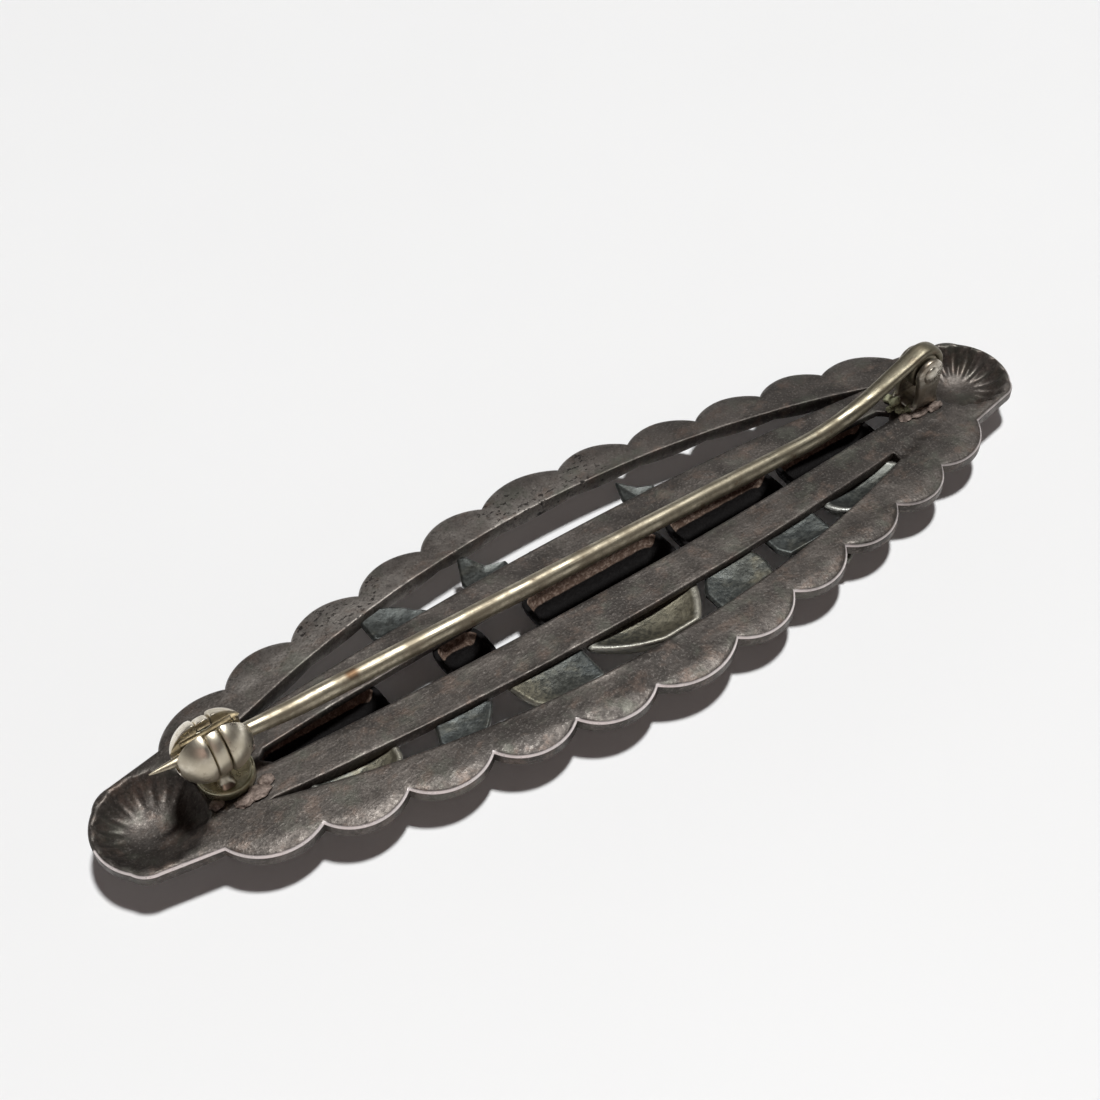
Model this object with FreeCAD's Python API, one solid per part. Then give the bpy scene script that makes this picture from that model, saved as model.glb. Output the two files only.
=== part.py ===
import FreeCAD, Part
import math
import os

# Bar-shaped hat pin, lying face down: +X runs along the bar towards the hinge,
# +Y across it and +Z up out of the back. The origin is on the resting surface,
# under the middle of the bar. All sizes are in millimetres.

V = FreeCAD.Vector
X_AXIS = V(1, 0, 0)
Y_AXIS = V(0, 1, 0)
Z_AXIS = V(0, 0, 1)

# --- pierced back plate ----------------------------------------------------
LENGTH = 60.0                 # tip to tip
PLATE_TOP = 2.6               # height of the plate's back face
PLATE_THICK = 0.5
PLATE_FRONT = PLATE_TOP - PLATE_THICK   # ornaments are soldered to this face
# Points between scallops, in one quarter of the outline; the rest is mirrored.
CUSPS = ((2.66, 8.06), (7.20, 7.36), (11.67, 6.55), (16.18, 5.90), (20.46, 5.13), (24.95, 3.60))
SCALLOP_RISE = 1.0            # how far each scallop stands out from its chord
NECK = (27.9, 3.05)           # where the narrow neck meets the end's round corner
CORNER = (28.75, 2.72)        # middle of that corner
CORNER_END = (29.15, 2.2)
SLOT_END = (21.8, 2.4)        # pointed ends of the two outer slots
NEAR_SLOT_STOP_X = 19.0       # the near slot stops short, square, at its hinge end
BORDER_MID_Y = 6.3            # inner edge of the border, halfway along
NEAR_BORDER_MID_Y = 5.95     # the same for the near slot, which is a little narrower
BAR_OUTER_MID_Y = 3.6         # outer edge of a long bar, halfway along
BAR_INNER_MID_Y = 1.2         # inner edge of a long bar, halfway along
MIDDLE_SLOT_END = (20.7, 0.5)
MIDDLE_SLOT_TIP_X = 21.2

# --- dished ends -----------------------------------------------------------
DISH_X = 26.95
DISH_RADIUS = 2.55            # at the back face
DISH_DEPTH = 1.6
DISH_WALL = 0.4

# --- hinge -----------------------------------------------------------------
HINGE_X = 23.2
HINGE_Z = PLATE_TOP + 2.42
RIVET_RADIUS = 0.35
RIVET_HEAD_RADIUS = 0.58
RIVET_HEAD_HEIGHT = 0.22
EAR_RADIUS = 1.0
EAR_THICK = 0.34
EAR_GAP = 1.24                # between the two ears
BRACKET_BASE_THICK = 0.35
BRACKET_BASE_X = (22.1, 24.3)
HEAD_RADIUS = 1.55            # flattened round head of the stem
HEAD_THICK = 1.1
HEAD_COVER = 0.03             # how far the wire lies inside the head's rim
HINGE_CLEARANCE = 0.04

# --- pin stem --------------------------------------------------------------
STEM_RADIUS = 0.52
STEM_LOW = (12.0, PLATE_TOP + 1.25)     # hinge end of the straight shank
STEM_HIGH = (-19.0, PLATE_TOP + 2.25)   # catch end of the straight shank
POINT_START = (-25.0, PLATE_TOP + 2.85)
POINT_START_RADIUS = 0.26
POINT_TIP = (-26.4, PLATE_TOP + 2.99)
POINT_TIP_RADIUS = 0.04
ARCH_ANGLE = 24.0             # slope of the stem where it rises to the hinge
ARCH_RADIUS = 14.0
KNEE_RADIUS = 12.0            # slight bend where the shank rises into the catch

# --- ball catch ------------------------------------------------------------
CATCH_X = -23.2
CATCH_Z = PLATE_TOP + 2.7
BALL_RADIUS = 1.6
RING_WIDTH = 0.7
RING_RADIUS = 1.52
RING_BORE = 1.0
RING_MOUTH_WIDTH = 1.1
SLEEVE_RADIUS = 0.95
SLEEVE_BORE = 0.66
SLEEVE_REACH = 1.35           # half the sleeve's length
SIDE_PLAY = 0.06              # between each half ball and the ring
PASSAGE_STEM_RADIUS = 0.75    # hole through the half ball on the stem side
PASSAGE_TIP_RADIUS = 0.56     # hole through the half ball on the tip side
SLOT_STEM_HALF = 0.53         # half width of the entry slot, stem side
SLOT_TIP_HALF = 0.36
CATCH_NECK_WIDTH = 1.3
CATCH_CUP_X = -22.95
CATCH_CUP_RADIUS = 1.45
CATCH_CUP_HEIGHT = 0.6
CATCH_CUP_WALL = 0.2
CATCH_CUP_FLOOR = 0.3

# --- ornaments on the front ------------------------------------------------
# Hollow pods along the middle: first and last X, open towards the back.
PODS = ((-21.4, -14.0), (-10.9, -6.9), (-4.9, 4.4), (4.9, 12.4), (13.0, 19.9))
POD_RADIUS = 1.5
POD_WALL = 0.32
# Leaves: centre X, centre Y, length, width, angle, depth, cupped.
NEAR_LEAVES = (
    (-21.45, -2.95, 2.3, 1.6, -12.0, 0.5, False),
    (-17.65, -3.20, 5.2, 2.8, -8.0, 2.1, True),
    (-11.80, -3.70, 4.4, 2.7, 6.0, 0.9, False),
    (-6.35, -4.15, 4.7, 2.9, -14.0, 0.9, False),
    (0.00, -3.95, 7.6, 3.3, 3.0, 2.1, True),
    (5.85, -4.50, 4.7, 3.5, 4.0, 0.9, False),
    (10.50, -3.85, 3.7, 2.3, 6.0, 0.45, False),
    (16.10, -3.25, 6.0, 2.6, 3.0, 2.1, True),
)
FAR_LEAVES = (
    (-10.40, 3.95, 5.0, 2.7, -33.0, 2.1, False),
    (-5.10, 4.20, 4.3, 3.0, 84.0, 1.2, False),
    (-2.40, 3.20, 3.0, 1.9, 8.0, 0.9, False),
    (5.30, 3.75, 4.1, 2.4, 72.0, 2.1, False),
)
CUP_WALL = 0.32
# One more leaf lies under the seventh and shows its tip past a scallop.
UNDER_LEAF = (11.35, -5.35, 3.9, 1.9, -62.0, 1.0)
UNDER_LEAF_DROP = 0.46


def save(name, shape):
    """Write one closed solid, or a group of them, to its own file."""
    print(name, len(shape.Solids), "solid", round(shape.Volume, 3), shape.isValid())
    shape.exportStep("parts/" + name + ".step")


def arc(start, middle, end):
    return Part.Arc(V(*start, 0), V(*middle, 0), V(*end, 0)).toShape()


def line(start, end):
    return Part.LineSegment(V(*start, 0), V(*end, 0)).toShape()


def flip(points, x_sign, y_sign):
    return [(x * x_sign, y * y_sign) for x, y in points]


def prism(edges, bottom, height):
    """A flat outline at the given height, extruded upwards."""
    wire = Part.Wire(Part.__sortEdges__(edges))
    face = Part.Face(wire)
    face.translate(V(0, 0, bottom))
    return face.extrude(V(0, 0, height))


def bulged(start, end, rise):
    """An arc from start to end whose middle stands out to the left of the way."""
    chord_x = end[0] - start[0]
    chord_y = end[1] - start[1]
    chord = math.hypot(chord_x, chord_y)
    middle = ((start[0] + end[0]) / 2 - chord_y / chord * rise,
              (start[1] + end[1]) / 2 + chord_x / chord * rise)
    return start, middle, end


def outline_edges():
    """Scalloped outline of the back plate."""
    edges = []
    for y_sign in (1, -1):
        first = CUSPS[0]
        edges.append(arc(*flip(bulged((-first[0], first[1]), first, SCALLOP_RISE), 1, y_sign)))
        for x_sign in (1, -1):
            for start, end in zip(CUSPS, CUSPS[1:]):
                edges.append(arc(*flip(bulged(start, end, SCALLOP_RISE), x_sign, y_sign)))
            ends = flip((CUSPS[-1], NECK, CORNER, CORNER_END), x_sign, y_sign)
            edges.append(line(ends[0], ends[1]))
            edges.append(arc(ends[1], ends[2], ends[3]))
    for x_sign in (1, -1):
        tip = flip((CORNER_END, (LENGTH / 2, 0), (CORNER_END[0], -CORNER_END[1])), x_sign, 1)
        edges.append(arc(*tip))
    return edges


def outer_slot_edges(y_sign):
    """Long slot between the border and a bar."""
    left, right = flip((SLOT_END,), -1, y_sign)[0], flip((SLOT_END,), 1, y_sign)[0]
    border_y = BORDER_MID_Y if y_sign > 0 else -NEAR_BORDER_MID_Y
    return [arc(left, (0, border_y), right),
            arc(left, (0, BAR_OUTER_MID_Y * y_sign), right)]


def near_slot_stop():
    """Square block of metal that is left at the hinge end of the near slot."""
    length = SLOT_END[0] - NEAR_SLOT_STOP_X + 0.4
    return Part.makeBox(length, 1.6, PLATE_THICK, V(NEAR_SLOT_STOP_X, -SLOT_END[1] - 1.4, PLATE_FRONT))


def middle_slot_edges():
    """Long slot between the two bars, with a blunt point at each end."""
    edges = []
    for y_sign in (1, -1):
        left = flip((MIDDLE_SLOT_END,), -1, y_sign)[0]
        right = flip((MIDDLE_SLOT_END,), 1, y_sign)[0]
        edges.append(arc(left, (0, BAR_INNER_MID_Y * y_sign), right))
        edges.append(line(right, (MIDDLE_SLOT_TIP_X, 0)))
        edges.append(line(left, (-MIDDLE_SLOT_TIP_X, 0)))
    return edges


def back_plate():
    """Pierced plate with a dish pressed into each end."""
    plate = prism(outline_edges(), PLATE_FRONT, PLATE_THICK)
    for y_sign in (1, -1):
        slot = prism(outer_slot_edges(y_sign), 0, PLATE_TOP * 2)
        if y_sign < 0:
            slot = slot.cut(near_slot_stop())
        plate = plate.cut(slot)
    plate = plate.cut(prism(middle_slot_edges(), 0, PLATE_TOP * 2))
    inner = (DISH_RADIUS ** 2 + DISH_DEPTH ** 2) / (2 * DISH_DEPTH)
    centre_z = PLATE_TOP - DISH_DEPTH + inner
    below = Part.makeBox(LENGTH * 2, LENGTH, PLATE_FRONT, V(-LENGTH, -LENGTH / 2, 0))
    for x_sign in (1, -1):
        centre = V(DISH_X * x_sign, 0, centre_z)
        plate = plate.fuse(Part.makeSphere(inner + DISH_WALL, centre).common(below))
        plate = plate.cut(Part.makeSphere(inner, centre))
    return plate


def pod(start_x, end_x):
    """Hollow half-round pod with round ends, open at the back."""
    def capsule(radius):
        barrel = Part.makeCylinder(radius, end_x - start_x - 2 * POD_RADIUS,
                                   V(start_x + POD_RADIUS, 0, PLATE_FRONT), X_AXIS)
        ends = [Part.makeSphere(radius, V(x, 0, PLATE_FRONT))
                for x in (start_x + POD_RADIUS, end_x - POD_RADIUS)]
        return barrel.fuse(ends)
    below = Part.makeBox(LENGTH, LENGTH, PLATE_FRONT, V(-LENGTH / 2, -LENGTH / 2, 0))
    return capsule(POD_RADIUS).cut(capsule(POD_RADIUS - POD_WALL)).common(below)


def half_lens(length, width, depth):
    """Lower half of a pointed lens: the shape of a domed leaf, flat on top."""
    half_length, half_width = length / 2, width / 2
    radius = (half_length ** 2 + half_width ** 2) / (2 * half_width)
    offset = radius - half_width
    lens = Part.makeSphere(radius, V(0, offset, 0)).common(Part.makeSphere(radius, V(0, -offset, 0)))
    lower = Part.makeBox(2 * length, 2 * length, length, V(-length, -length, -length))
    squash = FreeCAD.Matrix()
    squash.scale(1, 1, depth / half_length)
    return lens.common(lower).transformGeometry(squash)


def leaf(x, y, length, width, angle, depth, cupped=False, drop=0.0):
    """Leaf soldered to the plate's front face; a cupped one is hollow behind."""
    shape = half_lens(length, width, depth)
    if cupped:
        inner_width = width - 2 * CUP_WALL
        inner_length = length * inner_width / width
        hollow = half_lens(inner_length, inner_width, depth - CUP_WALL)
        shape = shape.cut(hollow)
    shape.rotate(V(0, 0, 0), Z_AXIS, angle)
    shape.translate(V(x, y, PLATE_FRONT - drop))
    return shape


def hinge_bracket():
    """Base strip with two round-topped ears, bored for the rivet."""
    half_width = EAR_GAP / 2 + EAR_THICK
    base = Part.makeBox(BRACKET_BASE_X[1] - BRACKET_BASE_X[0], 2 * half_width, BRACKET_BASE_THICK,
                        V(BRACKET_BASE_X[0], -half_width, PLATE_TOP))
    bracket = base
    for y in (EAR_GAP / 2, -half_width):
        top = Part.makeCylinder(EAR_RADIUS, EAR_THICK, V(HINGE_X, y, HINGE_Z), Y_AXIS)
        leg = Part.makeBox(2 * EAR_RADIUS, EAR_THICK, HINGE_Z - PLATE_TOP,
                           V(HINGE_X - EAR_RADIUS, y, PLATE_TOP))
        bracket = bracket.fuse(leg).fuse(top)
    bore = Part.makeCylinder(RIVET_RADIUS, 4 * half_width, V(HINGE_X, -2 * half_width, HINGE_Z), Y_AXIS)
    return bracket.cut(bore)


def hinge_rivet():
    """Rivet through both ears, with a low domed head outside each."""
    half_width = EAR_GAP / 2 + EAR_THICK
    rivet = Part.makeCylinder(RIVET_RADIUS, 2 * half_width, V(HINGE_X, -half_width, HINGE_Z), Y_AXIS)
    for side in (1, -1):
        head = Part.makeCone(RIVET_HEAD_RADIUS, RIVET_RADIUS, RIVET_HEAD_HEIGHT,
                             V(HINGE_X, half_width * side, HINGE_Z), V(0, side, 0))
        rivet = rivet.fuse(head)
    return rivet


def at(point):
    """A point of the stem's middle plane, given as X and Z."""
    return V(point[0], 0, point[1])


def rod(start, end):
    """Straight stretch of the stem's wire."""
    return Part.makeCylinder(STEM_RADIUS, (end - start).Length, start, end - start)


def bend(corner, before, after, radius):
    """Bent stretch of wire that rounds a corner, with the points where it starts and ends."""
    turn = before.getAngle(after)
    tangent = radius * math.tan(turn / 2)
    start = corner - before * tangent
    section = Part.Face(Part.Wire(Part.Circle(start, before, STEM_RADIUS).toShape()))
    inward = (after - before * before.dot(after)).normalize()
    axis = before.cross(inward)
    solid = section.revolve(start + inward * radius, axis, math.degrees(turn))
    return solid, start, corner + after * tangent


def pin_stem():
    """Round stem: flattened head, arch over the hinge, straight shank and point."""
    shank_way = (at(STEM_LOW) - at(STEM_HIGH)).normalize()
    taper_way = (at(STEM_HIGH) - at(POINT_START)).normalize()
    rise = math.radians(ARCH_ANGLE)
    rising_way = V(math.cos(rise), 0, math.sin(rise))
    lift = HEAD_RADIUS - STEM_RADIUS - HEAD_COVER
    top = V(HINGE_X - lift * math.sin(rise), 0, HINGE_Z + lift * math.cos(rise))
    # Corner where the shank's line meets the line that rises to the hinge.
    slope = shank_way.z / shank_way.x
    corner_x = ((top.z - STEM_LOW[1] + slope * STEM_LOW[0] - math.tan(rise) * top.x)
                / (slope - math.tan(rise)))
    corner = V(corner_x, 0, STEM_LOW[1] + slope * (corner_x - STEM_LOW[0]))

    knee, knee_start, knee_end = bend(at(STEM_HIGH), taper_way, shank_way, KNEE_RADIUS)
    arch, arch_start, arch_end = bend(corner, shank_way, rising_way, ARCH_RADIUS)
    taper = Part.makeCone(POINT_START_RADIUS, STEM_RADIUS, (knee_start - at(POINT_START)).Length,
                          at(POINT_START), taper_way)
    point_way = at(POINT_START) - at(POINT_TIP)
    point = Part.makeCone(POINT_TIP_RADIUS, POINT_START_RADIUS, point_way.Length,
                          at(POINT_TIP), point_way)
    head = Part.makeCylinder(HEAD_RADIUS, HEAD_THICK, V(HINGE_X, -HEAD_THICK / 2, HINGE_Z), Y_AXIS)
    stem = point.fuse([taper, knee, rod(knee_end, arch_start), arch, rod(arch_end, top), head])
    bore = Part.makeCylinder(RIVET_RADIUS + HINGE_CLEARANCE, 2 * HEAD_THICK,
                             V(HINGE_X, -HEAD_THICK, HINGE_Z), Y_AXIS)
    return stem.cut(bore)


def entry_slot(tip_half, stem_half):
    """Space straight up from the catch's axis, through which the stem drops in."""
    tip_x = CATCH_X - 2 * BALL_RADIUS
    stem_x = CATCH_X + 2 * BALL_RADIUS
    corners = ((tip_x, -tip_half), (stem_x, -stem_half), (stem_x, stem_half), (tip_x, tip_half))
    edges = [line(a, b) for a, b in zip(corners, corners[1:] + corners[:1])]
    return prism(edges, CATCH_Z, 2 * BALL_RADIUS)


def catch_axis_cylinder(radius, start, end):
    return Part.makeCylinder(radius, end - start, V(CATCH_X + start, 0, CATCH_Z), X_AXIS)


def catch_dome(side):
    """Half ball on one side of the ring: +1 towards the stem, -1 towards the tip."""
    face = RING_WIDTH / 2 + SIDE_PLAY
    ball = Part.makeSphere(BALL_RADIUS, V(CATCH_X + side * face, 0, CATCH_Z))
    size = 4 * BALL_RADIUS
    keep_x = CATCH_X + face if side > 0 else CATCH_X - face - size
    dome = ball.common(Part.makeBox(size, size, size, V(keep_x, -size / 2, CATCH_Z - size / 2)))
    dome = dome.cut(catch_axis_cylinder(SLEEVE_RADIUS, -SLEEVE_REACH, SLEEVE_REACH))
    passage = PASSAGE_STEM_RADIUS if side > 0 else PASSAGE_TIP_RADIUS
    dome = dome.cut(catch_axis_cylinder(passage, -size / 2, size / 2))
    return dome.cut(entry_slot(SLOT_TIP_HALF, SLOT_STEM_HALF))


def catch_sleeve():
    """Slotted tube that joins the two half balls through the ring."""
    sleeve = catch_axis_cylinder(SLEEVE_RADIUS, -SLEEVE_REACH, SLEEVE_REACH)
    sleeve = sleeve.cut(catch_axis_cylinder(SLEEVE_BORE, -SLEEVE_REACH, SLEEVE_REACH))
    return sleeve.cut(entry_slot(SLOT_TIP_HALF, SLOT_STEM_HALF))


def catch_ring():
    """Fixed ring on a neck, open at the top, that the half balls turn in."""
    ring = catch_axis_cylinder(RING_RADIUS, -RING_WIDTH / 2, RING_WIDTH / 2)
    foot = PLATE_TOP + CATCH_CUP_FLOOR
    neck = Part.makeBox(RING_WIDTH, CATCH_NECK_WIDTH, CATCH_Z - foot,
                        V(CATCH_X - RING_WIDTH / 2, -CATCH_NECK_WIDTH / 2, foot))
    ring = ring.fuse(neck)
    ring = ring.cut(catch_axis_cylinder(RING_BORE, -RING_WIDTH, RING_WIDTH))
    half_mouth = RING_MOUTH_WIDTH / 2
    return ring.cut(entry_slot(half_mouth, half_mouth))


def catch_cup():
    """Shallow round cup that carries the catch on the plate."""
    foot = V(CATCH_CUP_X, 0, PLATE_TOP)
    cup = Part.makeCylinder(CATCH_CUP_RADIUS, CATCH_CUP_HEIGHT, foot)
    hollow = Part.makeCylinder(CATCH_CUP_RADIUS - CATCH_CUP_WALL, CATCH_CUP_HEIGHT,
                               foot + V(0, 0, CATCH_CUP_FLOOR))
    return cup.cut(hollow)


def main():
    os.makedirs("parts", exist_ok=True)
    save("back_plate", back_plate())
    for number, (start_x, end_x) in enumerate(PODS, 1):
        save("pod_%d" % number, pod(start_x, end_x))
    for number, sizes in enumerate(NEAR_LEAVES, 1):
        save("near_leaf_%d" % number, leaf(*sizes))
    for number, sizes in enumerate(FAR_LEAVES, 1):
        save("far_leaf_%d" % number, leaf(*sizes))
    save("under_leaf", leaf(*UNDER_LEAF, drop=UNDER_LEAF_DROP))
    save("hinge_bracket", hinge_bracket())
    save("hinge_rivet", hinge_rivet())
    save("pin_stem", pin_stem())
    save("catch_cup", catch_cup())
    save("catch_ring", catch_ring())
    save("catch_sleeve", catch_sleeve())
    save("catch_dome_tip_side", catch_dome(-1))
    save("catch_dome_stem_side", catch_dome(1))


main()
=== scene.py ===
"""Looks of a bar-shaped hat pin that lies face down.

Pierced silver plate, leaf and pod ornaments, hinge, stem and ball catch.
"""

import logging
import math
from dataclasses import dataclass, field
from enum import Enum
from typing import Callable

import bmesh
import bpy
import numpy as np
from mathutils import Matrix, Vector, kdtree, noise
from mathutils.geometry import delaunay_2d_cdt


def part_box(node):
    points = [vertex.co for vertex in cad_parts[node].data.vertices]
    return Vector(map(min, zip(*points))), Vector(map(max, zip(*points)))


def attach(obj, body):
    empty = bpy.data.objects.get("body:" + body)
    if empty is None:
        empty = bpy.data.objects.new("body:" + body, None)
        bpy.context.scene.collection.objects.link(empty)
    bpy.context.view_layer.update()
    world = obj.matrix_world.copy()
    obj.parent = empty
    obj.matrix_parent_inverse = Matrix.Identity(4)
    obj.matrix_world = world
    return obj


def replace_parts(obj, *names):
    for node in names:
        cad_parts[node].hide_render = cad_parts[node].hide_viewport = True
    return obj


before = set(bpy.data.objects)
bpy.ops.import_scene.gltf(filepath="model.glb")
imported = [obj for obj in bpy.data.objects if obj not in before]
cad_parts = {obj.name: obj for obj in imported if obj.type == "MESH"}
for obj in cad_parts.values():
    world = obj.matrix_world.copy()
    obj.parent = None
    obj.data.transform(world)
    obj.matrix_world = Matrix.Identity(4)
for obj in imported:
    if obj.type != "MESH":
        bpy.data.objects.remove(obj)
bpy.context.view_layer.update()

LOG = logging.getLogger("hat_pin")
MM = 0.001
TAU = 2 * math.pi
MERGE_M = 1e-8  # points closer than this become one
BEVEL_STEPS = 3
SHADE_SHARP = math.radians(50)  # edges that turn more than this are shaded sharp

Flat = tuple[float, float]
Spot = tuple[float, float, float]
Colour = tuple[float, float, float]


class Body(Enum):
    """The three bodies that move against each other."""

    BAR = "bar"
    STEM = "stem"
    BARREL = "catch_barrel"


class Side(Enum):
    """Which side of the bar's middle line, as the sign of Y."""

    FAR = 1
    NEAR = -1


def smooth(low: float, high: float, value: float) -> float:
    """Soft step from 0 at low to 1 at high.

    Args:
        low: where the step starts.
        high: where the step ends.
        value: the place to read.

    Returns:
        The height of the step, from 0 to 1.
    """
    share = min(1.0, max(0.0, (value - low) / (high - low)))
    return share * share * (3 - 2 * share)


def node_box_mm(node: str) -> tuple[Vector, Vector]:
    """Lowest and highest corner of a CAD node, in millimetres.

    Args:
        node: name of the node.

    Returns:
        The two corners.
    """
    low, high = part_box(node)
    return low / MM, high / MM


# ---------------------------------------------------------------------------
# Finishes
# ---------------------------------------------------------------------------


@dataclass
class NodeBench:
    """Small helper that lays out the nodes of one material."""

    material: bpy.types.Material

    def add(self, kind: str, **settings: object) -> bpy.types.Node:
        """Add a node and set its properties.

        Args:
            kind: Blender's name for the node type.
            **settings: properties to set on it.

        Returns:
            The new node.
        """
        node = self.material.node_tree.nodes.new(kind)
        for name, value in settings.items():
            setattr(node, name, value)
        return node

    def join(self, source: bpy.types.NodeSocket, target: bpy.types.NodeSocket) -> None:
        """Link one socket to another."""
        self.material.node_tree.links.new(source, target)

    def place(self) -> bpy.types.NodeSocket:
        """Object coordinates counted in millimetres.

        Returns:
            The coordinates.
        """
        where = self.add("ShaderNodeTexCoord")
        scale = self.add("ShaderNodeMapping")
        scale.inputs["Scale"].default_value = (1 / MM, 1 / MM, 1 / MM)
        self.join(where.outputs["Object"], scale.inputs["Vector"])
        return scale.outputs["Vector"]

    def stretched(self, place: bpy.types.NodeSocket, scale: Spot) -> bpy.types.NodeSocket:
        """The same coordinates, scaled per axis.

        Args:
            place: coordinates in millimetres.
            scale: factor for each axis.

        Returns:
            The scaled coordinates.
        """
        mapping = self.add("ShaderNodeMapping")
        mapping.inputs["Scale"].default_value = scale
        self.join(place, mapping.inputs["Vector"])
        return mapping.outputs["Vector"]

    def clouds(self, place: bpy.types.NodeSocket, per_mm: float, detail: float = 4.0,
               rough: float = 0.55) -> bpy.types.NodeSocket:
        """Cloudy noise.

        Args:
            place: coordinates in millimetres.
            per_mm: how many clouds fit in a millimetre.
            detail: how many octaves are laid over each other.
            rough: strength of the fine octaves.

        Returns:
            The noise, from 0 to 1.
        """
        node = self.add("ShaderNodeTexNoise")
        node.inputs["Scale"].default_value = per_mm
        node.inputs["Detail"].default_value = detail
        node.inputs["Roughness"].default_value = rough
        self.join(place, node.inputs["Vector"])
        return node.outputs["Fac"]

    def step(self, value: bpy.types.NodeSocket, low: float, high: float,
             out_low: float = 0.0, out_high: float = 1.0) -> bpy.types.NodeSocket:
        """Map a value from one range to another, clamped and softened.

        Args:
            value: the value to map.
            low: where the range starts.
            high: where the range ends.
            out_low: what the start becomes.
            out_high: what the end becomes.

        Returns:
            The mapped value.
        """
        node = self.add("ShaderNodeMapRange", interpolation_type="SMOOTHSTEP")
        ends = {"From Min": low, "From Max": high, "To Min": out_low, "To Max": out_high}
        for name, number in ends.items():
            node.inputs[name].default_value = number
        self.join(value, node.inputs["Value"])
        return node.outputs["Result"]

    def across(self, place: bpy.types.NodeSocket, axis: str) -> bpy.types.NodeSocket:
        """One coordinate of a place, in millimetres.

        Args:
            place: coordinates in millimetres.
            axis: X, Y or Z.

        Returns:
            That coordinate.
        """
        split = self.add("ShaderNodeSeparateXYZ")
        self.join(place, split.inputs[0])
        return split.outputs[axis]

    def math(self, operation: str, first: bpy.types.NodeSocket,
             second: bpy.types.NodeSocket | float) -> bpy.types.NodeSocket:
        """One sum of two values, where the second may be a number.

        Args:
            operation: Blender's name for the sum.
            first: the first value.
            second: the second value, or a number.

        Returns:
            The result.
        """
        node = self.add("ShaderNodeMath", operation=operation)
        self.join(first, node.inputs[0])
        if isinstance(second, (int, float)):
            node.inputs[1].default_value = second
        else:
            self.join(second, node.inputs[1])
        return node.outputs["Value"]

    def mix(self, share: bpy.types.NodeSocket, first: bpy.types.NodeSocket | Colour,
            second: bpy.types.NodeSocket | Colour, blend: str = "MIX") -> bpy.types.NodeSocket:
        """Mix two colours by a share.

        Args:
            share: how much of the second colour, from 0 to 1.
            first: the first colour.
            second: the second colour.
            blend: how the colours are combined.

        Returns:
            The mixed colour.
        """
        node = self.add("ShaderNodeMix", data_type="RGBA", blend_type=blend)
        self.join(share, node.inputs["Factor"])
        for socket, colour in ((node.inputs["A"], first), (node.inputs["B"], second)):
            if isinstance(colour, tuple):
                socket.default_value = (*colour, 1.0)
            else:
                self.join(colour, socket)
        return node.outputs["Result"]

    def read(self, name: str) -> bpy.types.NodeSocket:
        """A value stored on the mesh's points."""
        return self.add("ShaderNodeAttribute", attribute_name=name).outputs["Fac"]

    def bump(self, height: bpy.types.NodeSocket, depth_mm: float,
             normal: bpy.types.NodeSocket | None = None) -> bpy.types.NodeSocket:
        """Fine relief of a given depth in millimetres.

        Args:
            height: the relief, from 0 to 1.
            depth_mm: its depth.
            normal: a relief to lay it over, if any.

        Returns:
            The bent normal.
        """
        node = self.add("ShaderNodeBump")
        node.inputs["Distance"].default_value = depth_mm * MM
        self.join(height, node.inputs["Height"])
        if normal is not None:
            self.join(normal, node.inputs["Normal"])
        return node.outputs["Normal"]


@dataclass(frozen=True)
class Finish:
    """A finish of the object; each kind lays out its own nodes."""

    name: str

    def make(self) -> bpy.types.Material:
        """Make the material.

        Returns:
            The finished material.
        """
        material = bpy.data.materials.new(self.name)
        material.use_nodes = True
        bench = NodeBench(material)
        self.lay_out(bench, material.node_tree.nodes["Principled BSDF"])
        return material

    def lay_out(self, bench: NodeBench, shader: bpy.types.Node) -> None:
        """Lay out the nodes; each kind of finish has its own."""
        raise NotImplementedError


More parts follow.
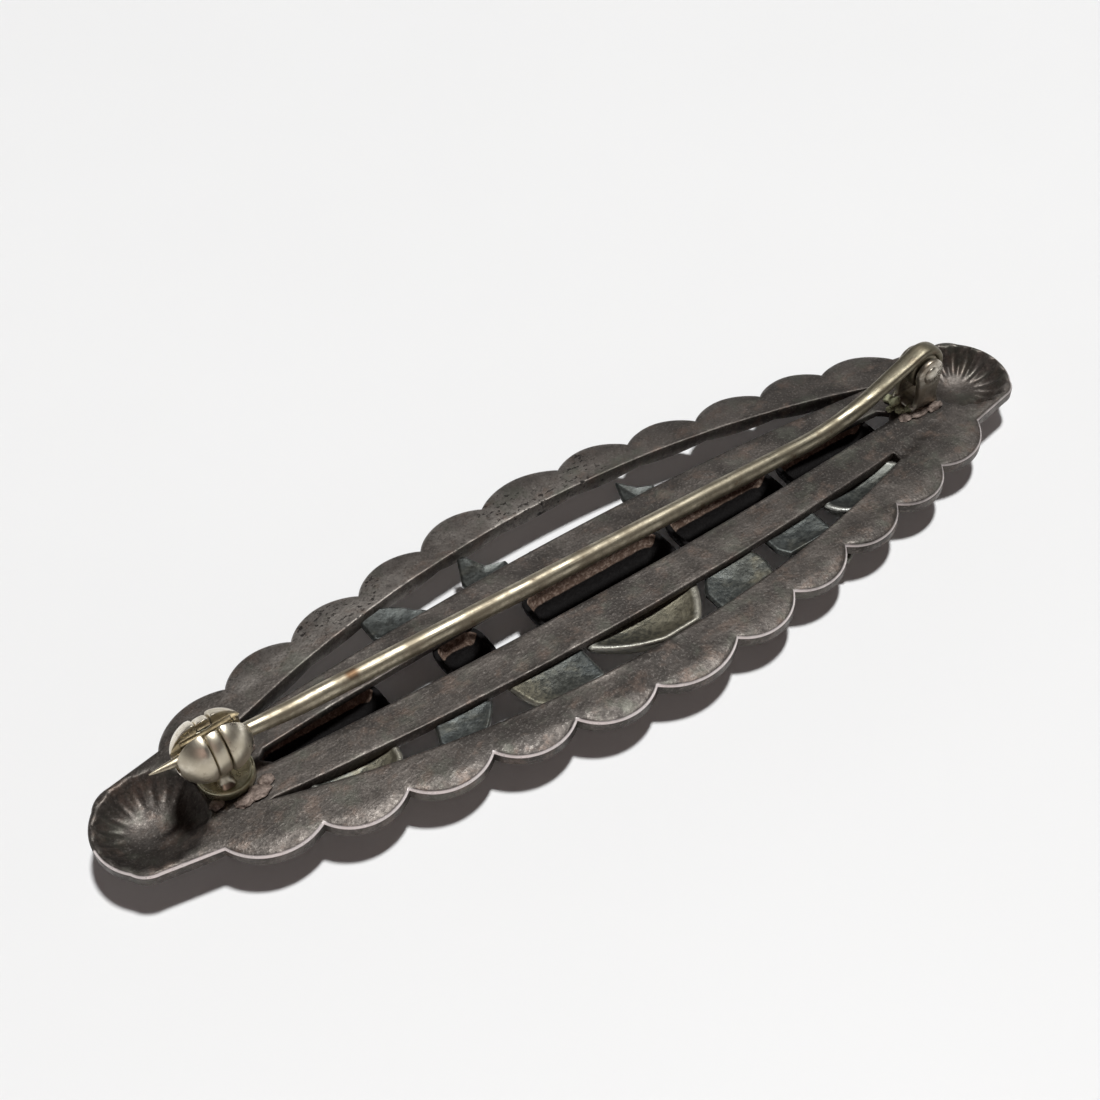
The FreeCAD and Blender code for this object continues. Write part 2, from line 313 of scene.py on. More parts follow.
@dataclass(frozen=True)
class OldSilver(Finish):
    """Oxidised silver: mottled brown-grey skin, paler where clean, with pits, bright worn edges and painted
    highlight on near edges and scallop crowns.
    """

    dark: Colour = (0.040, 0.034, 0.030)
    middle: Colour = (0.098, 0.084, 0.074)
    clean: Colour = (0.20, 0.18, 0.162)
    brown: Colour = (0.125, 0.090, 0.072)
    green: Colour = (0.088, 0.090, 0.072)
    # edge: rubbed metal, also used as painted highlight along near edges and flute ridges
    edge: Colour = (0.86, 0.78, 0.76)
    pit: Colour = (0.012, 0.009, 0.008)
    metallic: float = 0.72
    worn_metallic: float = 0.27
    roughness: float = 0.44
    grain_mm: float = 0.03

    def lay_out(self, bench: NodeBench, shader: bpy.types.Node) -> None:
        """Mottling, clean patches, brown blooms, pits, and worn edges with painted highlight.

        Args:
            bench: lays out the nodes.
            shader: the material's surface shader.
        """
        place = bench.place()
        broad = bench.clouds(place, 0.28, 5.0, 0.62)
        mottle = bench.clouds(place, 1.9, 6.0, 0.72)
        fine = bench.clouds(place, 7.5, 4.0, 0.6)
        # the tone attribute also carries painted highlight on the near scallops' crowns
        tone = bench.math("ADD", bench.read("tone"), bench.step(broad, 0.3, 0.7, -0.22, 0.22))
        skin = bench.mix(bench.step(tone, 0.1, 0.5), self.dark, self.middle)
        skin = bench.mix(bench.step(tone, 0.5, 0.95), skin, self.clean)
        skin = bench.mix(bench.step(mottle, 0.36, 0.5, 0.62, 0.0), skin, self.dark)
        skin = bench.mix(bench.step(mottle, 0.54, 0.74, 0.0, 0.5), skin, self.clean)
        blooms = bench.clouds(bench.stretched(place, (0.7, 0.9, -0.8)), 1.0, 5.0, 0.65)
        skin = bench.mix(bench.step(blooms, 0.5, 0.68, 0.0, 0.7), skin, self.brown)
        skin = bench.mix(bench.step(fine, 0.54, 0.68, 0.0, 0.5), skin, self.clean)
        skin = bench.mix(bench.step(fine, 0.34, 0.47, 0.6, 0.0), skin, self.dark)
        green = bench.clouds(bench.stretched(place, (-0.8, 0.7, 1.1)), 0.8, 4.0, 0.6)
        skin = bench.mix(bench.step(green, 0.5, 0.7, 0.0, 0.55), skin, self.green)
        clusters = bench.step(bench.clouds(place, 0.24, 2.0, 0.5), 0.51, 0.59)
        specks = bench.step(bench.clouds(bench.stretched(place, (1.0, 1.5, 1.0)), 2.7, 4.0, 0.62), 0.57, 0.64)
        far_side = bench.step(bench.across(place, "Y"), 4.0, 6.0, 0.12, 1.0)
        pits = bench.math("MULTIPLY", bench.math("MULTIPLY", specks, clusters), far_side)
        skin = bench.mix(bench.step(pits, 0.1, 0.9, 0.0, 0.85), skin, self.pit)
        # worn edges, partly painted highlight: the mesh marks near edges and flute ridges brighter
        wear_noise = bench.step(bench.clouds(place, 1.1, 3.0, 0.5), 0.25, 0.6, 0.8, 1.0)
        wear = bench.math("MULTIPLY", bench.read("wear"), wear_noise)
        skin = bench.mix(bench.step(wear, 0.15, 0.8), skin, self.edge)
        bench.join(skin, shader.inputs["Base Color"])
        bare = bench.step(wear, 0.0, 1.0, self.metallic, self.worn_metallic)
        bench.join(bare, shader.inputs["Metallic"])
        gloss = bench.step(mottle, 0.3, 0.7, self.roughness + 0.1, self.roughness - 0.07)
        gloss = bench.math("SUBTRACT", gloss, bench.math("MULTIPLY", wear, 0.16))
        gloss = bench.math("ADD", gloss, bench.math("MULTIPLY", pits, 0.25))
        bench.join(gloss, shader.inputs["Roughness"])
        height = bench.math("SUBTRACT", mottle, bench.math("MULTIPLY", pits, 1.4))
        normal = bench.bump(height, self.grain_mm)
        normal = bench.bump(fine, self.grain_mm * 0.3, normal)
        bench.join(normal, shader.inputs["Normal"])


@dataclass(frozen=True)
class LeafTarnish(Finish):
    """Struck leaves: grey-green tarnish over silver, with bluish and yellowish blooms."""

    base: Colour = (0.062, 0.064, 0.057)
    pale: Colour = (0.114, 0.117, 0.102)
    dark: Colour = (0.030, 0.030, 0.026)
    blue: Colour = (0.055, 0.063, 0.064)
    yellow: Colour = (0.185, 0.165, 0.115)
    edge: Colour = (0.56, 0.54, 0.49)

    def lay_out(self, bench: NodeBench, shader: bpy.types.Node) -> None:
        """Blooms of tarnish, grain and rubbed rims.

        Args:
            bench: lays out the nodes.
            shader: the material's surface shader.
        """
        place = bench.place()
        broad = bench.clouds(place, 0.35, 4.0, 0.6)
        fine = bench.clouds(place, 3.5, 6.0, 0.7)
        skin = bench.mix(bench.step(fine, 0.4, 0.75), self.base, self.pale)
        skin = bench.mix(bench.step(broad, 0.52, 0.7, 0.0, 0.4), skin, self.blue)
        shifted = bench.stretched(place, (0.5, -0.7, 0.6))
        skin = bench.mix(bench.step(bench.clouds(shifted, 1.0, 3.0), 0.55, 0.72, 0.0, 0.6), skin, self.yellow)
        tone = bench.math("ADD", bench.read("tone"), bench.step(fine, 0.3, 0.7, -0.12, 0.12))
        skin = bench.mix(bench.step(tone, 0.0, 0.45, 0.55, 0.0), skin, self.blue)
        skin = bench.mix(bench.step(tone, 0.55, 1.0, 0.0, 0.8), skin, self.yellow)
        skin = bench.mix(bench.step(bench.clouds(place, 1.6, 4.0, 0.7), 0.56, 0.7, 0.0, 0.5), skin, self.dark)
        skin = bench.mix(bench.step(tone, -0.6, -0.1, 0.7, 0.0), skin, self.dark)
        skin = bench.mix(bench.step(bench.read("wear"), 0.0, 1.0), skin, self.edge)
        bench.join(skin, shader.inputs["Base Color"])
        shader.inputs["Metallic"].default_value = 0.7
        bench.join(bench.step(fine, 0.3, 0.7, 0.3, 0.5), shader.inputs["Roughness"])
        bench.join(bench.bump(fine, 0.03), shader.inputs["Normal"])


@dataclass(frozen=True)
class CrustWithPaintedShade(Finish):
    """Inside of the pods: reddish, gritty corrosion on what catches the light, and near black elsewhere,
    which is painted shade over dark oxide.
    """

    # deep: painted shade, near black, for all of a pod that the mesh does not mark lit
    deep: Colour = (0.006, 0.005, 0.005)
    brown: Colour = (0.15, 0.10, 0.075)
    grit: Colour = (0.42, 0.32, 0.26)

    def lay_out(self, bench: NodeBench, shader: bpy.types.Node) -> None:
        """Grit over brown where the mesh marks the surface lit, and near-black painted shade elsewhere.

        Args:
            bench: lays out the nodes.
            shader: the material's surface shader.
        """
        place = bench.place()
        grit = bench.clouds(place, 4.5, 6.0, 0.75)
        skin = bench.mix(bench.step(grit, 0.45, 0.68), self.brown, self.grit)
        skin = bench.mix(bench.step(bench.read("wear"), 0.45, 0.75), self.deep, skin)
        bench.join(skin, shader.inputs["Base Color"])
        shader.inputs["Metallic"].default_value = 0.0
        shader.inputs["Specular IOR Level"].default_value = 0.12
        bench.join(bench.step(grit, 0.3, 0.7, 0.75, 0.45), shader.inputs["Roughness"])
        bench.join(bench.bump(grit, 0.09), shader.inputs["Normal"])


@dataclass(frozen=True)
class NickelSilver(Finish):
    """Nickel silver: pale yellowish metal with a thin brown tarnish, drawing lines and handling wear."""

    bright: Colour = (0.52, 0.465, 0.35)
    dull: Colour = (0.235, 0.20, 0.145)
    stain: Colour = (0.13, 0.075, 0.04)
    # shade: painted shade colour, laid on more and more along X
    shade: Colour = (0.085, 0.078, 0.052)
    stain_amount: float = 0.5
    darker_from: tuple[float, ...] = (-5.0, 26.0, 0.0, 0.0)
    roughness: float = 0.4
    lines: Spot = (0.25, 9.0, 9.0)
    line_mm: float = 0.012

    def lay_out(self, bench: NodeBench, shader: bpy.types.Node) -> None:
        """Tarnish patches, stains, lengthwise drawing lines and painted shade that darkens along X.

        Args:
            bench: lays out the nodes.
            shader: the material's surface shader.
        """
        place = bench.place()
        broad = bench.clouds(place, 0.45, 5.0, 0.62)
        lines = bench.clouds(bench.stretched(place, self.lines), 1.0, 5.0, 0.65)
        skin = bench.mix(bench.step(broad, 0.38, 0.62), self.bright, self.dull)
        skin = bench.mix(bench.step(lines, 0.50, 0.66, 0.0, 0.6), skin, self.dull)
        mottle = bench.clouds(place, 5.0, 4.0, 0.65)
        skin = bench.mix(bench.step(mottle, 0.5, 0.68, 0.0, 0.6), skin, self.dull)
        # painted shade: darker along X, on the wire towards the hinge end
        darker = bench.step(bench.across(place, "X"), *self.darker_from)
        skin = bench.mix(darker, skin, self.shade)
        spots = bench.step(bench.clouds(place, 0.9, 4.0, 0.6), 0.63, 0.72, 0.0, self.stain_amount)
        skin = bench.mix(spots, skin, self.stain)
        skin = bench.mix(bench.step(bench.read("wear"), 0.3, 1.0), skin, self.stain)
        bench.join(skin, shader.inputs["Base Color"])
        shader.inputs["Metallic"].default_value = 0.95
        gloss = bench.step(broad, 0.35, 0.65, self.roughness - 0.06, self.roughness + 0.14)
        bench.join(bench.math("ADD", gloss, bench.math("MULTIPLY", spots, 0.3)), shader.inputs["Roughness"])
        bench.join(bench.bump(lines, self.line_mm), shader.inputs["Normal"])


@dataclass(frozen=True)
class Crumb(Finish):
    """Crumbly deposit or rough solder, matt and lumpy."""

    low: Colour = (0.16, 0.16, 0.09)
    high: Colour = (0.46, 0.46, 0.30)
    metallic: float = 0.1
    roughness: float = 0.7
    depth_mm: float = 0.12

    def lay_out(self, bench: NodeBench, shader: bpy.types.Node) -> None:
        """Two tones of grit with deep grain.

        Args:
            bench: lays out the nodes.
            shader: the material's surface shader.
        """
        place = bench.place()
        grit = bench.clouds(place, 3.2, 6.0, 0.7)
        bench.join(bench.mix(bench.step(grit, 0.35, 0.68), self.low, self.high), shader.inputs["Base Color"])
        shader.inputs["Metallic"].default_value = self.metallic
        shader.inputs["Roughness"].default_value = self.roughness
        bench.join(bench.bump(grit, self.depth_mm), shader.inputs["Normal"])


@dataclass(frozen=True)
class PaleTable(Finish):
    """Plain pale table top."""

    colour: Colour = (0.86, 0.855, 0.855)

    def lay_out(self, bench: NodeBench, shader: bpy.types.Node) -> None:
        """Nearly even tone with a faint drift.

        Args:
            bench: lays out the nodes.
            shader: the material's surface shader.
        """
        place = bench.place()
        drift = bench.step(bench.clouds(place, 0.02, 3.0), 0.3, 0.7, 0.0, 0.5)
        darker = tuple(c * 0.97 for c in self.colour)
        bench.join(bench.mix(drift, self.colour, darker), shader.inputs["Base Color"])
        shader.inputs["Roughness"].default_value = 0.6


# ---------------------------------------------------------------------------
# Mesh making
# ---------------------------------------------------------------------------


@dataclass
class Draft:
    """Points in millimetres, their wear and tone, and faces, gathered for one mesh."""

    points: list[Spot] = field(default_factory=list)
    faces: list[tuple[int, ...]] = field(default_factory=list)
    wear: list[float] = field(default_factory=list)
    tone: list[float] = field(default_factory=list)

    def point(self, spot: Spot, wear: float = 0.0, tone: float = 0.5) -> int:
        """Add a point.

        Args:
            spot: where it is, in millimetres.
            wear: how rubbed the surface is there, from 0 to 1; it also carries painted highlight on the
                plate's near edges and marks what is painted lit in the pods.
            tone: how clean the metal is there, from 0, dark, to 1, pale; on the plate's near scallop crowns
                it also carries painted highlight.

        Returns:
            The point's number.
        """
        self.points.append(tuple(spot))
        self.wear.append(wear)
        self.tone.append(tone)
        return len(self.points) - 1

    def loop(self, spots: list[Spot], wear: float = 0.0) -> list[int]:
        """Add a row of points and give their numbers."""
        return [self.point(spot, wear) for spot in spots]

    def bridge(self, first: list[int], second: list[int]) -> None:
        """Join two rings of the same length with four-sided faces.

        Args:
            first: numbers of one ring's points.
            second: numbers of the other's.
        """
        for i in range(len(first)):
            j = (i + 1) % len(first)
            self.faces.append((first[i], first[j], second[j], second[i]))

    def bridge_all(self, rings: list[list[int]]) -> None:
        """Join each ring to the next."""
        for before, after in zip(rings, rings[1:]):
            self.bridge(before, after)

    def cap(self, ring: list[int]) -> None:
        """Close a ring with one face."""
        self.faces.append(tuple(ring))

    def tube(self, rings: list[list[int]]) -> None:
        """Join rings into a tube and close both of its ends.

        Args:
            rings: the rings, from one end to the other.
        """
        self.bridge_all(rings)
        self.cap(rings[0][::-1])
        self.cap(rings[-1])

    def build(self, name: str, finish: bpy.types.Material, body: Body, slot: str,
              bevel_mm: float = 0.0, sharp_deg: float = 38.0) -> bpy.types.Object:
        """Make the object and let it ride on its body.

        Args:
            name: the piece's name.
            finish: its material.
            body: the body it moves with.
            slot: the record's material slot; not used.
            bevel_mm: width of the rounding on sharp edges, or 0 for none.
            sharp_deg: edges that turn more than this count as sharp.

        Returns:
            The new object.
        """
        mesh = bpy.data.meshes.new(name)
        mesh.from_pydata([(x * MM, y * MM, z * MM) for x, y, z in self.points], [], self.faces)
        for label, values in (("wear", self.wear), ("tone", self.tone)):
            layer = mesh.attributes.new(label, "FLOAT", "POINT")
            layer.data.foreach_set("value", np.array(values, np.float32))
        work = bmesh.new()
        work.from_mesh(mesh)
        bmesh.ops.remove_doubles(work, verts=work.verts, dist=MERGE_M)
        bmesh.ops.recalc_face_normals(work, faces=work.faces)
        if bevel_mm:
            sharp = [e for e in work.edges
                     if len(e.link_faces) == 2 and e.calc_face_angle() > math.radians(sharp_deg)]
            bmesh.ops.bevel(work, geom=sharp, offset=bevel_mm * MM, segments=BEVEL_STEPS, profile=0.5,
                            affect="EDGES", clamp_overlap=True)
            bmesh.ops.recalc_face_normals(work, faces=work.faces)
        for face in work.faces:
            face.smooth = True
        for edge in work.edges:
            if len(edge.link_faces) == 2 and edge.calc_face_angle() > SHADE_SHARP:
                edge.smooth = False
        work.to_mesh(mesh)
        work.free()
        mesh.materials.append(finish)
        piece = bpy.data.objects.new(name, mesh)
        bpy.context.scene.collection.objects.link(piece)
        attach(piece, body.value)
        return piece


def squared(turn: float, power: float) -> Flat:
    """A point of the unit circle, squared off when the power is below 1."""
    across, up = math.cos(turn), math.sin(turn)
    return math.copysign(abs(across) ** power, across), math.copysign(abs(up) ** power, up)


@dataclass
class SlottedTurning:
    """A turned shape about the catch's axis with an entry slot cut straight up out of it."""

    centre: Vector
    profile: list[Flat]
    half_slot: Callable[[float], float]
    steps: int = 72

    def draft(self) -> Draft:
        """Sweep the closed profile from one wall of the slot round to the other.

        Returns:
            The draft of a closed shape.
        """
        made = Draft()
        rows: list[list[int]] = []
        for step in range(self.steps + 1):
            row = []
            for along, radius in self.profile:
                half = min(self.half_slot(self.centre.x + along), radius * 0.98)
                edge = math.asin(half / radius)
                turn = edge + (TAU - 2 * edge) * step / self.steps
                spot = self.centre + Vector((along, radius * math.sin(turn), radius * math.cos(turn)))
                row.append(made.point(tuple(spot)))
            rows.append(row)
        made.tube(rows)
        return made


def arc_points(start: Flat, middle: Flat, end: Flat, step: float) -> list[Flat]:
    """Points along the arc through three points, without the last one.

    Args:
        start: first point.
        middle: a point on the way.
        end: last point.
        step: spacing wanted along the arc.

    Returns:
        The points.
    """
    centre, radius = arc_circle(start, middle, end)
    first = math.atan2(start[1] - centre[1], start[0] - centre[0])
    last = math.atan2(end[1] - centre[1], end[0] - centre[0])
    through = math.atan2(middle[1] - centre[1], middle[0] - centre[0])
    turn = (last - first) % TAU
    if (through - first) % TAU > turn:
        turn -= TAU
    count = max(2, round(abs(turn) * radius / step))
    return [(centre[0] + radius * math.cos(first + turn * i / count),
             centre[1] + radius * math.sin(first + turn * i / count)) for i in range(count)]


def arc_circle(start: Flat, middle: Flat, end: Flat) -> tuple[Flat, float]:
    """Centre and radius of the circle through three points.

    Args:
        start: first point.
        middle: second point.
        end: third point.

    Returns:
        The centre and the radius.
    """
    (ax, ay), (bx, by), (cx, cy) = start, middle, end
    scale = 2 * (ax * (by - cy) + bx * (cy - ay) + cx * (ay - by))
    a2, b2, c2 = ax * ax + ay * ay, bx * bx + by * by, cx * cx + cy * cy
    x = (a2 * (by - cy) + b2 * (cy - ay) + c2 * (ay - by)) / scale
    y = (a2 * (cx - bx) + b2 * (ax - cx) + c2 * (bx - ax)) / scale
    return (x, y), math.hypot(ax - x, ay - y)


def line_points(start: Flat, end: Flat, step: float) -> list[Flat]:
    """Points along a straight line, without the last one.

    Args:
        start: first point.
        end: last point.
        step: spacing wanted.

    Returns:
        The points.
    """
    count = max(1, round(math.dist(start, end) / step))
    return [(start[0] + (end[0] - start[0]) * i / count, start[1] + (end[1] - start[1]) * i / count)
            for i in range(count)]


def area_of(loop: list[Flat]) -> float:
    """Signed area of a closed loop, positive when it runs anticlockwise."""
    return sum(a[0] * b[1] - b[0] * a[1] for a, b in zip(loop, loop[1:] + loop[:1])) / 2


def inset(loop: list[Flat], distance: float) -> list[Flat]:
    """The loop moved to its left by a distance, with short mitres at its corners.

    Args:
        loop: closed loop with the metal on its left.
        distance: how far to move.

    Returns:
        The moved loop, with the same number of points.
    """
    moved = []
    for i, here in enumerate(loop):
        before, after = loop[i - 1], loop[(i + 1) % len(loop)]
        first = Vector((here[0] - before[0], here[1] - before[1])).normalized()
        second = Vector((after[0] - here[0], after[1] - here[1])).normalized()
        left = Vector((-first.y - second.y, first.x + second.x))
        if left.length < 1e-6:
            left = Vector((first.x, first.y))
        left.normalize()
        cosine = max(0.75, left.dot(Vector((-first.y, first.x))))
        moved.append((here[0] + left.x * distance / cosine, here[1] + left.y * distance / cosine))
    return moved


def within(loops: list[list[Flat]], spots: np.ndarray) -> np.ndarray:
    """Which spots lie in the area that closed loops enclose, by the even-odd rule.

    Args:
        loops: the closed loops.
        spots: the spots, one to a row.

    Returns:
        True for each spot inside.
    """
    inside = np.zeros(len(spots), bool)
    x, y = spots[:, 0], spots[:, 1]
    for loop in loops:
        for (ax, ay), (bx, by) in zip(loop, loop[1:] + loop[:1]):
            if ay != by:
                crossing = ((ay > y) != (by > y)) & (x < (bx - ax) * (y - ay) / (by - ay) + ax)
                inside ^= crossing
    return inside


# ---------------------------------------------------------------------------
# Sub-assemblies
# ---------------------------------------------------------------------------


@dataclass
class BackPlate:
    """Pierced plate with scalloped borders, two long bars and a fluted dish pressed into each end."""

    finish: Finish
    top: float = 2.6
    front: float = 2.1
    step: float = 0.17
    cusps: tuple[Flat, ...] = ((2.66, 8.06), (7.20, 7.36), (11.67, 6.55), (16.18, 5.90), (20.46, 5.13),
                               (24.95, 3.60))
    scallop_rise: float = 1.0
    scallop_droop: float = 0.16
    near_slot_stop: float = 19.0
    neck: Flat = (27.9, 3.05)
    corner: Flat = (28.75, 2.72)
    corner_end: Flat = (29.15, 2.2)
    tip: Flat = (30.0, 0.0)
    slot_end: Flat = (21.8, 2.4)
    border_middle: float = 6.3
    near_border_middle: float = 5.95
    bar_outer_middle: float = 3.6
    bar_inner_middle: float = 1.2
    middle_slot_end: Flat = (20.7, 0.5)
    middle_slot_tip: float = 21.2
    insets: tuple[float, ...] = (0.0, 0.03, 0.08, 0.16, 0.32)
    grid: float = 0.36
    dish_x: float = 26.95
    dish_rim: float = 2.86
    dish_depth: float = 1.3
    dish_wall: float = 0.42
    flutes: int = 18
    flute_depths: tuple[float, ...] = (0.2, 0.32)
    gadroon: float = 0.55
    border_lip: float = 0.3
    bar_bead: float = 0.3
    edge_parts: int = 4
    carpet: Flat = (31.0, 10.0)
    row_gap: float = 0.87
    dish_rings: Flat = (0.14, 0.1)
    inward_turns: Flat = (2.35, 3.1)
    rim_margins: Flat = (0.10, 0.25)
    bowl_powers: Flat = (2.5, 0.95)
    flute_starts: Flat = (1.3, 0.9)
    flute_full: float = 2.5
    flute_fade: float = 0.8
    slot_edge: Flat = (0.05, 0.05)
    border_fall: Flat = (0.04, 0.6)
    border_edge: Flat = (0.13, 0.12)
    hand_waves: Flat = (0.05, 0.018)
    end_thinning: float = 0.28
    front_round: float = 0.1
    tone_plain: float = 0.50
    tone_hinge: float = -0.16
    tone_bars: float = -0.16
    tone_near: float = -0.22
    tone_far: float = 0.08
    # painted highlight: how much paler the near scallops' bent-down crowns are made
    crown_highlight_tone: float = 0.1
    tone_dishes: Flat = (-0.06, 0.32)
    rounds: list[tuple[Flat, float]] = field(init=False, default_factory=list)
    chords: list[tuple[Flat, Flat]] = field(init=False, default_factory=list)

    def outline(self) -> list[Flat]:
        """Scalloped outline, anticlockwise, starting on the far right.

        Returns:
            The outline's points.
        """
        quarter: list[tuple[Flat, ...]] = []
        for start, end in zip(self.cusps, self.cusps[1:]):
            quarter.append(self.scallop(start, end))
        points = list(self.cap_right())
        for start, middle, end in reversed(quarter):
            points += arc_points(end, middle, start, self.step)
        crown = self.cusps[0]
        points += arc_points(crown, (0.0, crown[1] + self.scallop_rise), (-crown[0], crown[1]), self.step)
        for start, middle, end in quarter:
            points += arc_points((-start[0], start[1]), (-middle[0], middle[1]), (-end[0], end[1]), self.step)
        points += [(-x, -y) for x, y in self.cap_right()]
        for start, middle, end in reversed(quarter):
            points += arc_points((-end[0], -end[1]), (-middle[0], -middle[1]), (-start[0], -start[1]),
                                 self.step)
        points += arc_points((-crown[0], -crown[1]), (0.0, -crown[1] - self.scallop_rise),
                             (crown[0], -crown[1]), self.step)
        for start, middle, end in quarter:
            points += arc_points((start[0], -start[1]), (middle[0], -middle[1]), (end[0], -end[1]), self.step)
        return points

    def scallop(self, start: Flat, end: Flat) -> tuple[Flat, Flat, Flat]:
        """Start, crown and end of the scallop between two cusps.

        Args:
            start: the first cusp.
            end: the second cusp.

        Returns:
            The three points.
        """
        dx, dy = end[0] - start[0], end[1] - start[1]
        chord = math.hypot(dx, dy)
        rise = self.scallop_rise / chord
        return start, ((start[0] + end[0]) / 2 - dy * rise, (start[1] + end[1]) / 2 + dx * rise), end

    def cap_right(self) -> list[Flat]:
        """Right end of the outline, from its near neck round the tip to its far neck.

        Returns:
            The end's points.
        """
        def near(point: Flat) -> Flat:
            """The same point on the near side."""
            return point[0], -point[1]
        last = self.cusps[-1]
        points = line_points(near(last), near(self.neck), self.step)
        points += arc_points(near(self.neck), near(self.corner), near(self.corner_end), self.step)
        points += arc_points(near(self.corner_end), self.tip, self.corner_end, self.step)
        points += arc_points(self.corner_end, self.corner, self.neck, self.step)
        return points + line_points(self.neck, last, self.step)

    def slots(self) -> list[list[Flat]]:
        """The three long slots, clockwise, so that the metal is on their left.

        Returns:
            The far, near and middle slot.
        """
        x, y = self.slot_end
        made = []
        for side in Side:
            s = side.value
            border = self.border_middle if side is Side.FAR else self.near_border_middle
            outer = arc_points((-x, y * s), (0.0, border * s), (x, y * s), self.step)
            inner = arc_points((x, y * s), (0.0, self.bar_outer_middle * s), (-x, y * s), self.step)
            if side is Side.NEAR:
                outer = [p for p in outer if p[0] < self.near_slot_stop]
                inner = [p for p in inner if p[0] < self.near_slot_stop]
                stop = line_points(outer[-1], inner[0], self.step)
                outer = outer[:-1] + stop
            made.append(outer + inner)
        x, y = self.middle_slot_end
        loop = line_points((-self.middle_slot_tip, 0.0), (-x, y), self.step)
        loop += arc_points((-x, y), (0.0, self.bar_inner_middle), (x, y), self.step)
        loop += line_points((x, y), (self.middle_slot_tip, 0.0), self.step)
        loop += line_points((self.middle_slot_tip, 0.0), (x, -y), self.step)
        loop += arc_points((x, -y), (0.0, -self.bar_inner_middle), (-x, -y), self.step)
        loop += line_points((-x, -y), (-self.middle_slot_tip, 0.0), self.step)
        made.append(loop)
        return [loop if area_of(loop) < 0 else loop[::-1] for loop in made]

    def droop(self, x: float, y: float) -> float:
        """How far a scallop bends down at a point: most at its crown and nothing at its cusps.

        Args:
            x: place along the bar.
            y: place across the bar.

        Returns:
            The drop.
        """
        most = 0.0
        for (ax, ay), (bx, by) in self.chords:
            chord = math.hypot(bx - ax, by - ay)
            along = ((abs(x) - ax) * (bx - ax) + (abs(y) - ay) * (by - ay)) / chord
            if -0.05 <= along <= chord + 0.05:
                out = (-(abs(x) - ax) * (by - ay) + (abs(y) - ay) * (bx - ax)) / chord
                most = max(most, out)
        return self.scallop_droop * smooth(-0.5, self.scallop_rise, most)

    def crease(self, x: float, y: float) -> float:
        """Shallow fold that carries on from the near slot's square end.

        Args:
            x: place along the bar.
            y: place across the bar.

        Returns:
            Its depth there.
        """
        if y > 0 or x < self.near_slot_stop:
            return 0.0
        middle = -3.05 + (x - self.near_slot_stop) * 0.24
        away = abs(y - middle)
        return 0.09 * (1 - smooth(0.02, 0.24, away)) * (1 - smooth(21.5, 24.0, x))

    def back_tone_and_crown_light(self, x: float, y: float) -> float:
        """How clean the back is: cleaner towards the left on the far side, darker towards the hinge, on the
        bars and on the near side, paler in the hinge-side dish, with painted highlight on the near scallops'
        crowns.

        Args:
            x: place along the bar.
            y: place across the bar.

        Returns:
            The tone, from 0, dark, to 1, pale.
        """
        tone = self.tone_plain + self.tone_hinge * smooth(-6.0, 20.0, x)
        if y < -2.0:
            # painted highlight: the near scallops' crowns, which bend down, are made paler
            crown = self.droop(x, y) / self.scallop_droop
            tone += self.crown_highlight_tone * crown * (1 - 0.75 * smooth(-12.0, 14.0, x))
            tone += self.tone_near + 0.16 * smooth(0.0, 16.0, x)
        elif abs(y) < 4.2:
            tone += self.tone_bars
        else:
            tone += self.tone_far + 0.12 * (1 - smooth(-4.0, 12.0, x))
        return tone + self.tone_dishes[x > 0] * smooth(24.0, 26.0, abs(x))

    def lobe(self, x: float, y: float) -> float:
        """How far inside a scallop's round a point lies: 1 at its middle and 0 at its edge.

        Args:
            x: place along the bar.
            y: place across the bar.

        Returns:
            The share.
        """
        best = 0.0
        for (cx, cy), radius in self.rounds:
            away = ((abs(x) - cx) ** 2 + (abs(y) - cy) ** 2) / radius ** 2
            best = max(best, 1 - away)
        return best

    def dish(self, x: float, y: float) -> float:
        """How deep the fluted dish is pressed at a point of the back face.

        Args:
            x: place along the bar.
            y: place across the bar.

        Returns:
            The depth.
        """
        out, across = abs(x) - self.dish_x, y
        reach = math.hypot(out, across)
        if reach >= self.dish_rim + 0.12:
            return 0.0
        turn = math.atan2(across, out)
        inward = smooth(*self.inward_turns, abs(turn))
        phase = (turn * self.flutes / TAU) % 1.0
        scoop = math.sin(math.pi * phase) ** 1.5
        rim = self.dish_rim - self.rim_margins[0] - self.rim_margins[1] * inward
        flat, ease = self.bowl_powers
        bowl = max(0.0, 1 - (reach / rim) ** flat) ** ease * self.dish_depth
        end = rim - 0.30 + 0.42 * math.sqrt(scoop)
        at_hinge = x > 0
        groove = scoop * smooth(self.flute_starts[at_hinge], self.flute_full, reach)
        groove *= 1 - smooth(end - 0.22, end + 0.06, reach)
        return bowl + groove * self.flute_depths[at_hinge] * (1 - self.flute_fade * inward)

    def fall(self, shape: Flat, edge: float) -> float:
        """How far a rounded edge has dropped, for a drop and a width."""
        return shape[0] * (1 - smooth(0.0, shape[1], edge))

    def top_height(self, x: float, y: float, edge: float, at_slot: bool) -> float:
        """Height of the back face.

        Args:
            x: place along the bar.
            y: place across the bar.
            edge: distance to the nearest edge of the plate.
            at_slot: whether that edge is a slot's.

        Returns:
            The height above the table.
        """
        if at_slot:
            drop = self.fall(self.slot_edge, edge)
        else:
            drop = self.fall(self.border_fall, edge) + self.fall(self.border_edge, edge)
        hand = noise.noise(Vector((x * 0.33, y * 0.5, 4.0))) * self.hand_waves[0]
        hand += noise.noise(Vector((x, y, 9.0))) * self.hand_waves[1]
        sink = self.droop(x, y) + self.crease(x, y) + self.dish(x, y)
        return self.top - 0.02 - drop + hand * smooth(0.0, 0.3, edge) - sink

